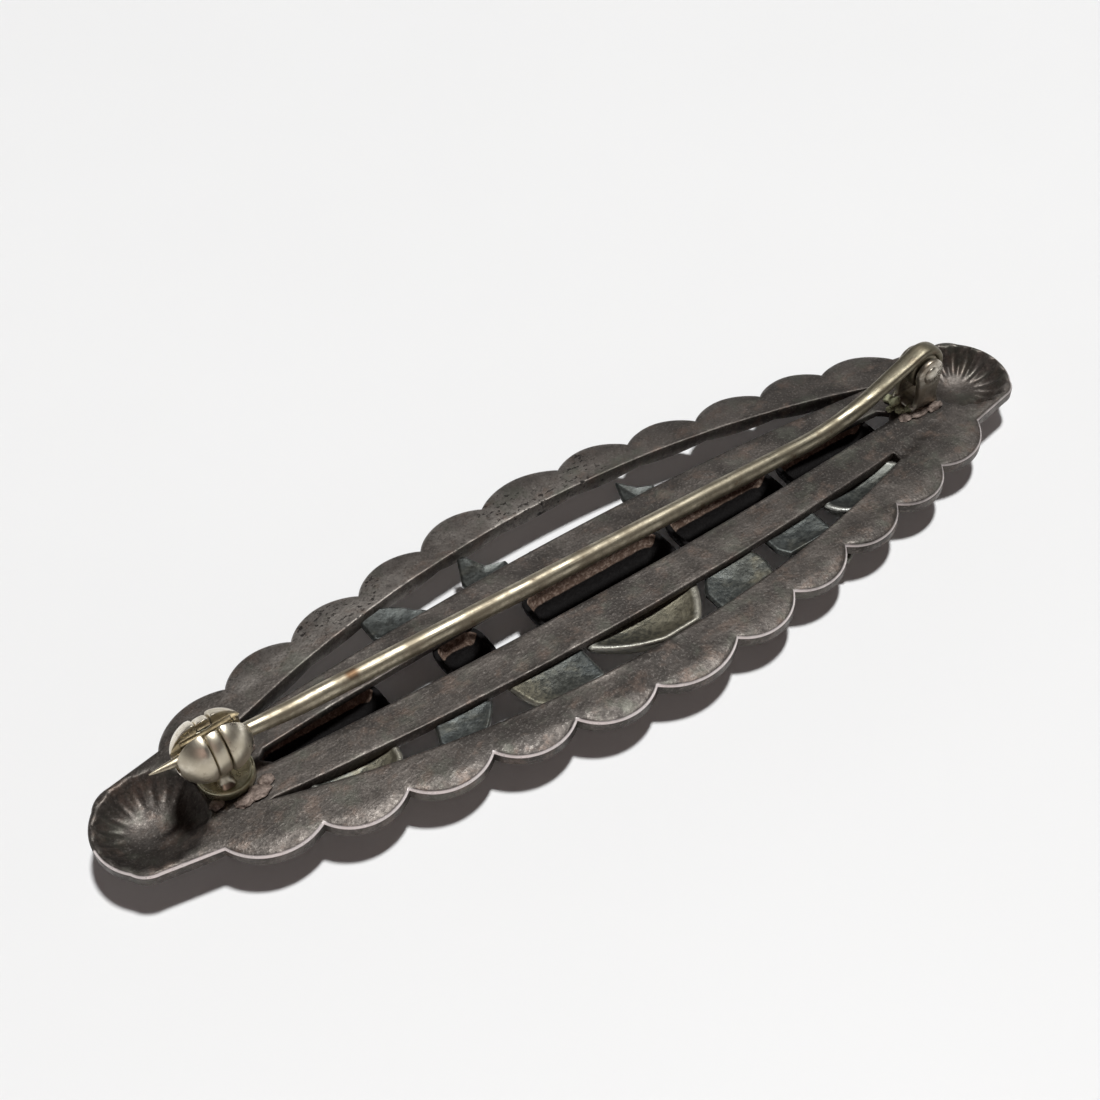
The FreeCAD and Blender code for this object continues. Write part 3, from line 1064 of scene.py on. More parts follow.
    def front_height(self, x: float, y: float, edge: float, top: float, at_slot: bool) -> float:
        """Height of the front face, which carries gadroons on the border and a bead on each bar.

        Args:
            x: place along the bar.
            y: place across the bar.
            edge: distance to the nearest edge of the plate.
            top: height of the back face there.
            at_slot: whether that edge is a slot's.

        Returns:
            The height above the table.
        """
        face = self.front - self.end_thinning * smooth(24.3, 25.6, abs(x))
        face -= self.droop(x, y) * 0.85
        round_off = self.front_round * (1 - smooth(0.0, 0.12, edge))
        border = smooth(self.bar_outer_middle + 0.4, self.bar_outer_middle + 1.0, abs(y) + 0.085 * abs(x))
        relief = self.gadroon * max(0.0, self.lobe(x, y)) ** 0.8 * border
        relief = max(relief, self.bar_bead * smooth(0.0, 0.9, edge) * (1 - border))
        if not at_slot:
            relief = max(relief, self.border_lip * (1 - smooth(0.5, 1.4, edge)) * border)
        pressed = self.dish(x, y)
        shell = top - self.dish_wall
        plain = face - relief * (1 - smooth(24.0, 25.2, abs(x))) + round_off
        return min(plain, shell) if pressed > 0.02 else plain

    def inner_points(self, loops: list[list[Flat]], edges: kdtree.KDTree) -> list[Flat]:
        """Points to carry the faces inside the inset loops, closer together in the dishes.

        Args:
            loops: the outline, then the slots.
            edges: finder for the nearest edge.

        Returns:
            The points.
        """
        points = []
        half_long, half_wide = self.carpet
        rows = int(half_wide / self.grid)
        for row in range(-rows, rows + 1):
            for column in range(int(2 * half_long / self.grid)):
                x = -half_long + (column + 0.5 * (row % 2)) * self.grid
                y = row * self.grid * self.row_gap
                if math.hypot(abs(x) - self.dish_x, y) > self.dish_rim + 0.05:
                    points.append((x, y))
        for sign in (1, -1):
            points.append((sign * self.dish_x, 0.0))
            reach, widen = self.dish_rings
            while reach < self.dish_rim + 0.02:
                spokes = self.flutes * (8 if reach > 1.3 else 4 if reach > 0.6 else 1)
                for i in range(spokes):
                    turn = TAU * i / spokes
                    points.append((sign * (self.dish_x + reach * math.cos(turn)), reach * math.sin(turn)))
                reach += widen
        least = self.insets[-1] + 0.07
        points = [p for p in points if edges.find((p[0], p[1], 0.0))[2] > least]
        on_metal = within(loops, np.array(points))
        return [p for p, kept in zip(points, on_metal) if kept]

    def edge_finder(self, loops: list[list[Flat]]) -> tuple[kdtree.KDTree, list[int]]:
        """Make a finder for the nearest edge of the plate.

        Args:
            loops: the outline, then the slots.

        Returns:
            The finder, and the number of the loop that each of its points is on.
        """
        edges = kdtree.KDTree(sum(len(loop) * self.edge_parts for loop in loops))
        owner: list[int] = []
        for number, loop in enumerate(loops):
            for (ax, ay), (bx, by) in zip(loop, loop[1:] + loop[:1]):
                for part in range(self.edge_parts):
                    share = part / self.edge_parts
                    edges.insert((ax + (bx - ax) * share, ay + (by - ay) * share, 0.0), len(owner))
                    owner.append(number)
        edges.balance()
        return edges, owner

    def sheet(self, rims: list[list[Flat]], inner: list[Flat]) -> list[tuple[int, ...]]:
        """Cover the metal between the innermost loops with triangles.

        Args:
            rims: the innermost loops.
            inner: points between them.

        Returns:
            Triangles that count through the loops' points and then the inner ones.
        """
        flat = [point for rim in rims for point in rim] + inner
        limits: list[tuple[int, int]] = []
        start = 0
        for rim in rims:
            count = len(rim)
            limits += [(start + i, start + (i + 1) % count) for i in range(count)]
            start += count
        found = delaunay_2d_cdt([Vector(point) for point in flat], limits, [], 0, 1e-7)
        origin = [sources[0] if sources else -1 for sources in found[3]]
        triangles = [tuple(origin[i] for i in face) for face in found[2]]
        triangles = [face for face in triangles if -1 not in face]
        middles = np.array([[sum(flat[i][0] for i in face) / 3, sum(flat[i][1] for i in face) / 3]
                            for face in triangles])
        return [face for face, kept in zip(triangles, within(rims, middles)) if kept]

    def spot(self, made: Draft, x: float, y: float, edge: float, at_slot: bool, is_top: bool) -> int:
        """Add a point of either face.

        Args:
            made: the draft to add it to.
            x: place along the bar.
            y: place across the bar.
            edge: distance to the nearest edge of the plate.
            at_slot: whether that edge is a slot's.
            is_top: whether the point is on the back face, which is up.

        Returns:
            The point's number.
        """
        height = self.top_height(x, y, edge, at_slot)
        if not is_top:
            height = self.front_height(x, y, edge, height, at_slot)
        return made.point((x, y, height), self.edge_wear_and_highlight(x, y, edge, at_slot, is_top), self.back_tone_and_crown_light(x, y))

    def make(self) -> list[bpy.types.Object]:
        """Build the plate and dress it.

        Returns:
            The plate.
        """
        crown = self.cusps[0]
        pairs = list(zip(self.cusps, self.cusps[1:]))
        self.chords = [*pairs, ((-crown[0], crown[1]), crown)]
        self.rounds = [arc_circle(*self.scallop(start, end)) for start, end in pairs]
        self.rounds.append(arc_circle(crown, (0.0, crown[1] + self.scallop_rise), (-crown[0], crown[1])))
        loops = [self.outline()] + self.slots()
        edges, owner = self.edge_finder(loops)
        rings = [[inset(loop, distance) for distance in self.insets] for loop in loops]
        inner = self.inner_points(loops, edges)
        triangles = self.sheet([ring[-1] for ring in rings], inner)
        made = Draft()
        rims = []
        for is_top in (True, False):
            numbers: list[int] = []
            rim: list[list[int]] = []
            for which, ring in enumerate(rings):
                rows = [[self.spot(made, x, y, depth, which > 0, is_top) for x, y in loop]
                        for depth, loop in zip(self.insets, ring)]
                made.bridge_all(rows)
                rim.append(rows[0])
                numbers += rows[-1]
            for x, y in inner:
                _, index, away = edges.find((x, y, 0.0))
                numbers.append(self.spot(made, x, y, away, owner[index] > 0, is_top))
            made.faces += [tuple(numbers[i] for i in face) for face in triangles]
            rims.append(rim)
        for above, below in zip(*rims):
            made.bridge(above, below)
        piece = made.build("pierced_back_plate", self.finish.make(), Body.BAR, "plate_silver")
        return [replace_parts(piece, "back_plate")]

    def edge_wear_and_highlight(self, x: float, y: float, edge: float, at_slot: bool, is_top: bool) -> float:
        """How brightly the metal is rubbed near an edge, with painted highlight: near-side edges and flute
        ridges are made much brighter than far-side ones.

        Args:
            x: place along the bar.
            y: place across the bar.
            edge: distance to the nearest edge of the plate.
            at_slot: whether that edge is a slot's.
            is_top: whether the point is on the back face.

        Returns:
            The wear, from 0 to 1.
        """
        if at_slot:
            return 0.1 * (1 - smooth(0.02, 0.1, edge)) if is_top and y < 0 else 0.0
        # painted highlight: near-side edges get full brightening, far-side edges only a little
        side = (1.0 if is_top else 0.8) if y < 0 else 0.2
        flute = smooth(0.7, 1.0, 1 - self.ridge_gap(x, y)) * 0.14
        side *= 1 - 0.4 * smooth(-4.0, 20.0, x)
        return max(side * smooth(-0.01, 0.03, edge) * (1 - smooth(0.05, 0.14, edge)), flute)

    def ridge_gap(self, x: float, y: float) -> float:
        """Distance from the crest of a flute's ridge: 0 on it and 1 midway or outside the dish.

        Args:
            x: place along the bar.
            y: place across the bar.

        Returns:
            The distance.
        """
        out = abs(x) - self.dish_x
        reach = math.hypot(out, y)
        turn = math.atan2(y, out)
        if not 1.9 < reach < self.dish_rim - 0.12 or abs(turn) > 2.4:
            return 1.0
        phase = (turn * self.flutes / TAU) % 1.0
        return min(phase, 1 - phase) * 2


@dataclass
class Pods:
    """Hollow half-round pods along the middle, open at the back, with painted shade that makes them dark
    troughs between the bars.
    """

    finish: Finish
    face: float = 2.08
    radius: float = 1.48
    wall: float = 0.3
    around: int = 26
    square: float = 0.55
    spans: tuple[Flat, ...] = ((-21.4, -14.0), (-10.6, -7.6), (-4.9, 4.4), (4.9, 12.4), (13.0, 19.9))
    outside_turns: tuple[float, ...] = (87, 78, 66, 54, 42, 30, 18, 8, 3)
    inside_turns: tuple[float, ...] = (3, 10, 20, 32, 44, 56, 68, 78, 87)

    def stadium(self, first: float, last: float, reach: float, height: float) -> list[Spot]:
        """A round-ended loop about the pod's middle line.

        Args:
            first: where the pod starts along the bar.
            last: where it ends.
            reach: half the loop's width.
            height: its height above the table.

        Returns:
            The loop.
        """
        left, right = first + self.radius, last - self.radius
        loop = []
        for i in range(self.around + 1):
            turn = -math.pi / 2 + math.pi * i / self.around
            loop.append((right + self.bent(reach, turn), self.bent(reach, math.pi / 2 - turn), height))
        steps = max(2, round((right - left) / 0.3))
        loop += [(right + (left - right) * i / steps, reach, height) for i in range(1, steps)]
        for i in range(self.around + 1):
            turn = math.pi / 2 + math.pi * i / self.around
            loop.append((left + self.bent(reach, turn), self.bent(reach, math.pi / 2 - turn), height))
        loop += [(left + (right - left) * i / steps, -reach, height) for i in range(1, steps)]
        return loop

    def bent(self, reach: float, turn: float) -> float:
        """Reach of a squared-off round, so that the ends are blunt."""
        return reach * squared(turn, self.square)[0]

    def rough(self, spot: Spot, depth: float) -> Spot:
        """The spot pushed about a little, as on a corroded casting.

        Args:
            spot: where it was.
            depth: how far it may move.

        Returns:
            The moved spot.
        """
        x, y, z = spot
        push = noise.noise(Vector((x * 2.3, y * 2.3, z * 2.3))) * depth
        push += noise.noise(Vector((x * 6, y * 6, z * 6))) * depth * 0.5
        return x + push * 0.5, y + push * 0.6, min(self.face, z + push)

    def make(self) -> list[bpy.types.Object]:
        """Build and dress every pod.

        Returns:
            The pods, from the catch to the hinge.
        """
        material = self.finish.make()
        pieces = []
        for number, (first, last) in enumerate(self.spans, 1):
            made = Draft()
            rows = []
            inner = self.radius - self.wall
            # painted shade: the outside and rim carry marks below the lit threshold, so they are painted near
            # black
            profile = [(self.radius * math.cos(t), self.face - self.radius * math.sin(t), 0.2)
                       for t in map(math.radians, self.outside_turns)]
            profile += [(self.radius - 0.06, self.face, 0.3), (inner + 0.06, self.face, 0.4)]
            profile += [(inner * math.cos(t), self.face - inner * math.sin(t), 0.0)
                        for t in map(math.radians, self.inside_turns)]
            for reach, height, wear in profile:
                row = []
                for spot in self.stadium(first, last, reach, height):
                    # painted light and shade: only the high inner far wall is marked lit; the rest of the
                    # hollow is painted near black
                    lit = smooth(0.35, 0.55, spot[1] / self.radius) * smooth(1.22, 1.34, height)
                    inside = wear == 0.0
                    row.append(made.point(self.rough(spot, 0.05 if inside else 0.02),
                                          lit if inside else wear))
                rows.append(row)
            made.tube(rows)
            piece = made.build(f"hollow_pod_{number}", material, Body.BAR, "pod_silver")
            pieces.append(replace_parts(piece, f"pod_{number}"))
        return pieces


@dataclass
class Leaf:
    """One struck leaf: bowed sides, a rubbed rim, a flat or cupped back and a veined front."""

    name: str
    corners: tuple[Flat, ...]
    bows: tuple[float, ...]
    depth: float
    cupped: bool = False
    drop: float = 0.0
    left_tone: float = 0.5
    right_tone: float = 0.5
    rim: float = 0.3
    face: float = 2.09
    step: float = 0.16
    margin: float = 0.01
    scales: tuple[float, ...] = (0.04, 0.12, 0.22, 0.32, 0.42, 0.52, 0.60, 0.67, 0.73, 0.78, 0.83, 0.88,
                                 0.92, 0.96, 0.985, 1.0)

    def outline(self) -> list[Flat]:
        """The leaf's outline, anticlockwise, held inside the leaf's own bounds.

        Returns:
            The outline's points.
        """
        low, high = node_box_mm(self.name)
        loop: list[Flat] = []
        for (ax, ay), (bx, by), bow in zip(self.corners, self.corners[1:] + self.corners[:1], self.bows):
            chord = math.hypot(bx - ax, by - ay)
            if bow:
                middle = ((ax + bx) / 2 + (by - ay) / chord * bow, (ay + by) / 2 - (bx - ax) / chord * bow)
                loop += arc_points((ax, ay), middle, (bx, by), self.step)
            else:
                loop += line_points((ax, ay), (bx, by), self.step)
        gap = self.margin
        return [(min(max(x, low.x + gap), high.x - gap), min(max(y, low.y + gap), high.y - gap))
                for x, y in loop]

    def back(self, scale: float) -> float:
        """How far the back lies below the plate's front, at a share of the way out.

        Args:
            scale: the share, 0 at the middle and 1 at the rim.

        Returns:
            The distance.
        """
        if not self.cupped:
            return 0.1 * smooth(0.94, 1.0, scale) + 0.1 * max(0.0, 1 - (scale / 0.9) ** 2)
        cup = max(0.0, 1 - (scale / 0.88) ** 2) ** 0.8 * 0.34
        return cup + 0.07 * smooth(0.96, 1.0, scale)

    def wear(self, scale: float) -> float:
        """Rubbed rim."""
        low = 0.86 if self.cupped else 0.95
        return smooth(low - 0.04, low + 0.04, scale) * self.rim

    def front(self, x: float, y: float, scale: float) -> float:
        """How far the front lies below the plate's front: domed, with a midrib and side veins.

        Args:
            x: place along the bar, from the leaf's middle.
            y: place across the bar, from the leaf's middle.
            scale: share of the way out.

        Returns:
            The distance.
        """
        dome = (self.depth - 0.12) * max(0.0, 1 - scale ** 2) ** 0.75
        vein = abs(math.sin((abs(y) * 0.9 - x) * 5.2))
        carve = 0.05 * (1 - vein) + 0.1 * (1 - smooth(0.0, 0.16, abs(y)))
        least = self.back(scale) + 0.16
        return max(least, dome - carve * (1 - scale) * smooth(0.3, 0.9, self.depth))

    def make(self, material: bpy.types.Material) -> bpy.types.Object:
        """Build the leaf and dress it.

        Args:
            material: its dressed finish.

        Returns:
            The leaf.
        """
        made = Draft()
        loop = self.outline()
        middle_x = sum(x for x, _ in loop) / len(loop)
        middle_y = sum(y for _, y in loop) / len(loop)
        half = max(x for x, _ in loop) - middle_x
        low = self.face - self.depth - self.drop + 0.012
        for is_back in (True, False):
            rows = []
            for scale in self.scales:
                row = []
                for edge_x, edge_y in loop:
                    x, y = (edge_x - middle_x) * scale, (edge_y - middle_y) * scale
                    sink = self.back(scale) if is_back else self.front(x, y, scale)
                    dent = noise.noise(Vector((x * 1.4 + middle_x, y * 1.4, middle_y))) * 0.05 * (1 - scale)
                    height = max(low, self.face - self.drop - max(0.0, sink - dent))
                    share = smooth(-half, half, x)
                    tone = self.left_tone + (self.right_tone - self.left_tone) * share
                    row.append(made.point((middle_x + x, middle_y + y, height),
                                          self.wear(scale) if is_back else 0.15, tone))
                rows.append(row)
            made.bridge_all(rows)
            made.cap(rows[0])
            if is_back:
                upper = rows[-1]
        made.bridge(upper, rows[-1])
        piece = made.build(f"struck_{self.name}", material, Body.BAR, "leaf_silver")
        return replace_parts(piece, self.name)


@dataclass
class Leaves:
    """The leaves of both long sides and the one that shows past a scallop."""

    finish: Finish
    under_drop: float = 0.46

    def near(self) -> list[Leaf]:
        """The eight leaves of the near side, from the catch to the hinge.

        Returns:
            The leaves.
        """
        return [
            Leaf("near_leaf_1", ((-22.5, -2.7), (-21.3, -3.7), (-20.3, -3.2), (-21.3, -2.2)),
                 (0.1, 0.1, 0.1, 0.1), 0.5),
            Leaf("near_leaf_2", ((-19.95, -2.51), (-18.6, -3.9), (-15.8, -4.3), (-15.15, -3.3),
                                 (-15.5, -2.2)),
                 (0.12, 0.1, 0.15, 0.15, 0.0), 2.1, True, left_tone=0.6, right_tone=0.95),
            Leaf("near_leaf_3", ((-12.87, -2.86), (-13.38, -4.23), (-12.9, -5.1), (-11.2, -5.1),
                                 (-9.75, -3.55), (-10.9, -2.7)), (0.0, 0.0, 0.0, 0.08, 0.15, 0.0), 0.9,
                 left_tone=-0.1, right_tone=0.1, rim=0.15),
            Leaf("near_leaf_4", ((-8.68, -3.03), (-8.1, -5.04), (-7.2, -5.65), (-3.98, -5.65), (-3.98, -3.4),
                                 (-6.0, -2.7)), (0.08, 0.1, 0.0, 0.0, 0.0, 0.0), 0.9,
                 left_tone=0.85, right_tone=0.1),
            Leaf("near_leaf_5", ((-4.07, -3.45), (-0.04, -5.6), (2.22, -5.55), (3.6, -3.49), (2.0, -2.5),
                                 (-1.0, -2.5)), (0.32, 0.0, 0.12, 0.1, 0.0, 0.0), 2.1, True,
                 left_tone=0.7, right_tone=1.0, rim=0.36),
            Leaf("near_leaf_6", ((4.27, -3.36), (3.5, -4.4), (3.5, -5.9), (6.9, -6.0), (7.76, -4.13),
                                 (7.2, -2.9)), (0.0, 0.0, 0.0, 0.25, 0.15, 0.0), 0.9,
                 left_tone=0.1, right_tone=0.5, rim=0.1),
            Leaf("near_leaf_7", ((8.65, -2.8), (8.65, -4.2), (9.1, -4.9), (12.3, -4.9), (12.3, -2.8)),
                 (0.0, 0.0, 0.0, 0.0, 0.0), 0.45, left_tone=0.0, right_tone=0.1, rim=0.0),
            Leaf("near_leaf_8", ((13.12, -3.25), (14.1, -4.4), (17.3, -4.5), (19.05, -3.2), (17.8, -2.0),
                                 (14.5, -2.1)), (0.16, 0.1, 0.1, 0.1, 0.0, 0.1), 2.1, True,
                 left_tone=0.05, right_tone=0.55, rim=0.3),
        ]

    def far(self) -> list[Leaf]:
        """The four leaves of the far side and the low one that shows past a near scallop.

        Returns:
            The leaves.
        """
        return [
            Leaf("far_leaf_1", ((-12.5, 3.6), (-9.0, 2.3), (-8.9, 3.4), (-9.55, 4.1), (-11.4, 5.55),
                                (-12.6, 5.0)),
                 (0.0, 0.0, 0.1, 0.18, 0.1, 0.1), 2.1, left_tone=-0.3, right_tone=-0.3, rim=0.05),
            Leaf("far_leaf_2", ((-6.55, 3.2), (-3.65, 2.7), (-3.65, 4.2), (-4.81, 4.6), (-5.4, 5.95),
                                (-5.75, 5.95), (-6.55, 4.2)),
                 (0.0,) * 7, 1.2, left_tone=-0.45, right_tone=-0.3, rim=0.0),
            Leaf("far_leaf_3", ((-3.7, 2.9), (-2.0, 2.4), (-1.1, 3.3), (-2.2, 4.0)),
                 (0.1, 0.1, 0.1, 0.1), 0.9),
            Leaf("far_leaf_4", ((4.25, 2.6), (6.4, 2.5), (6.55, 4.0), (5.6, 4.5), (4.9, 5.5), (4.4, 4.2)),
                 (0.0,) * 6, 2.1, left_tone=-0.45, right_tone=-0.3, rim=0.0),
            Leaf("under_leaf", ((10.7, -3.8), (10.1, -4.9), (11.6, -6.9), (12.5, -6.3), (12.0, -4.4)),
                 (0.1, 0.1, 0.1, 0.1, 0.1), 1.0, drop=self.under_drop),
        ]

    def make(self) -> list[bpy.types.Object]:
        """Build every leaf."""
        material = self.finish.make()
        return [leaf.make(material) for leaf in self.near() + self.far()]


def turned(profile: list[Flat], centre: Vector, axis: Vector, side: Vector, steps: int = 64,
           wear: float = 0.0) -> Draft:
    """A closed profile turned once round an axis.

    Args:
        profile: distance along the axis and radius of each point, round the section.
        centre: a point on the axis, from which the distances count.
        axis: unit vector of the axis.
        side: unit vector square to the axis.
        steps: number of divisions round.
        wear: how rubbed the surface is.

    Returns:
        The draft of a closed shape.
    """
    other = axis.cross(side)
    made = Draft()
    rows = []
    for step in range(steps):
        turn = TAU * step / steps
        out = side * math.cos(turn) + other * math.sin(turn)
        spots = [tuple(centre + axis * along + out * radius) for along, radius in profile]
        rows.append(made.loop(spots, wear))
    made.bridge_all(rows + rows[:1])
    return made


def lump(centre: Vector, size: Vector, seed: float, knobbly: float = 0.35) -> Draft:
    """A small irregular lump, as of solder or crust, flattened where it sits.

    Args:
        centre: its middle.
        size: its half sizes.
        seed: which irregular shape it takes.
        knobbly: how irregular it is.

    Returns:
        The draft of a closed shape.
    """
    made = Draft()
    rows = []
    rings, around = 11, 22
    for i in range(1, rings):
        rise = math.pi * i / rings
        row = []
        for j in range(around):
            turn = TAU * j / around
            way = Vector((math.sin(rise) * math.cos(turn), math.sin(rise) * math.sin(turn), math.cos(rise)))
            swell = 1 + knobbly * noise.noise(way * 1.7 + Vector((seed, seed * 2, 0)))
            swell += knobbly * 0.5 * noise.noise(way * 4.5 + Vector((0, seed, seed)))
            row.append(made.point(tuple(centre + Vector(way[k] * size[k] * swell for k in range(3)))))
        rows.append(row)
    made.bridge_all(rows)
    made.cap(rows[0])
    made.cap(rows[-1][::-1])
    return made


@dataclass
class Hinge:
    """Soldered bracket with two ears, its rivet, and crust round its foot."""

    metal: Finish
    crust: Finish
    solder: Finish
    x: float = 23.2
    z: float = 5.02
    plate: float = 2.58
    ear_radius: float = 0.98
    ear_thick: float = 0.34
    gap: float = 1.24
    waist: float = 0.78
    foot: float = 1.08
    base: tuple[float, float] = (22.1, 24.3)
    head_radius: float = 0.56
    head_height: float = 0.2
    shaft_radius: float = 0.34
    head_turns: tuple[float, ...] = (0, 15, 30, 45, 60, 75, 86)
    foot_steps: tuple[Flat, ...] = ((0.0, 0.0), (0.2, 0.0), (0.3, 0.03), (0.34, 0.1))
    foot_square: float = 0.35
    material: bpy.types.Material | None = field(init=False, default=None)

    def ear_outline(self) -> list[Flat]:
        """Outline of an ear: wide foot, slight waist and a round top.

        Returns:
            The outline, from the hinge's middle along the bar.
        """
        top = [(self.ear_radius * math.cos(turn), self.z + self.ear_radius * math.sin(turn))
               for turn in map(math.radians, range(-24, 205, 12))]
        middle = self.plate + 1.1
        left = [(-self.ear_radius * 0.9, middle + 0.55), (-self.waist, middle),
                (-self.waist - 0.06, middle - 0.6), (-self.foot, self.plate)]
        right = [(-x, z) for x, z in reversed(left)]
        return top + left + right

    def ear(self, side: Side) -> bpy.types.Object:
        """One ear.

        Args:
            side: which of the two.

        Returns:
            The ear.
        """
        inner = self.gap / 2 * side.value
        outer = inner + self.ear_thick * side.value
        made = Draft()
        flat = [(self.x + x, z) for x, z in self.ear_outline()]
        first = made.loop([(x, inner, z) for x, z in flat])
        second = made.loop([(x, outer, z) for x, z in flat])
        made.bridge(first, second)
        made.cap(first[::-1])
        made.cap(second)
        name = f"hinge_ear_{side.name.lower()}"
        return made.build(name, self.material, Body.BAR, "hinge_metal", bevel_mm=0.1)

    def rivet(self) -> bpy.types.Object:
        """Rivet with a low domed head at each end.

        Returns:
            The rivet.
        """
        half = self.gap / 2 + self.ear_thick
        head = [(half + self.head_height * math.sin(t), self.head_radius * math.cos(t) ** 0.7)
                for t in map(math.radians, self.head_turns)]
        under = half - 0.02
        profile = [(0.0, self.shaft_radius), (under, self.shaft_radius), (under, self.head_radius), *head]
        whole = [(-along, radius) for along, radius in reversed(profile[1:])] + profile
        made = Draft()
        rows = []
        for along, radius in whole:
            rows.append(made.loop([(self.x + radius * math.cos(TAU * i / 32), along,
                                    self.z + radius * math.sin(TAU * i / 32)) for i in range(32)]))
        made.tube(rows)
        return made.build("hinge_rivet_domed", self.material, Body.BAR, "hinge_metal")

    def foot_strip(self) -> bpy.types.Object:
        """Base strip with rounded corners, slightly bowed.

        Returns:
            The strip.
        """
        made = Draft()
        half = self.gap / 2 + self.ear_thick
        middle = (self.base[0] + self.base[1]) / 2
        reach = (self.base[1] - self.base[0]) / 2
        rows = []
        for height, shrink in self.foot_steps:
            row = []
            for i in range(48):
                along, across = squared(TAU * i / 48, self.foot_square)
                x, y = along * (reach - shrink), across * (half - shrink)
                row.append(made.point((middle + x, y, self.plate + height)))
            rows.append(row)
        made.tube(rows)
        return made.build("hinge_foot", self.material, Body.BAR, "hinge_metal")

    def deposits(self) -> list[bpy.types.Object]:
        """Crust and solder round the foot.

        Returns:
            The lumps.
        """
        crust, solder = self.crust.make(), self.solder.make()
        spots = ((22.0, 0.35, 0.42, 0.34, 0.30, crust), (21.75, -0.25, 0.33, 0.3, 0.2, crust),
                 (22.25, -0.55, 0.5, 0.26, 0.24, crust), (21.35, 0.15, 0.26, 0.22, 0.14, crust),
                 (21.9, 0.85, 0.3, 0.3, 0.22, crust), (22.5, -1.15, 0.75, 0.3, 0.13, solder),
                 (23.6, -1.25, 0.6, 0.3, 0.16, solder), (21.6, -0.95, 0.5, 0.32, 0.1, solder))
        made = []
        for number, (x, y, wide, deep, tall, material) in enumerate(spots, 1):
            draft = lump(Vector((x, y, self.plate + tall * 0.35)), Vector((wide, deep, tall)), number * 3.1)
            name = f"hinge_deposit_{number}"
            made.append(draft.build(name, material, Body.BAR, "hinge_metal"))
        return made

    def make(self) -> list[bpy.types.Object]:
        """Build the hinge's fixed half.

        Returns:
            Its pieces.
        """
        self.material = self.metal.make()
        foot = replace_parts(self.foot_strip(), "hinge_bracket")
        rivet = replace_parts(self.rivet(), "hinge_rivet")
        return [foot, rivet, self.ear(Side.FAR), self.ear(Side.NEAR), *self.deposits()]


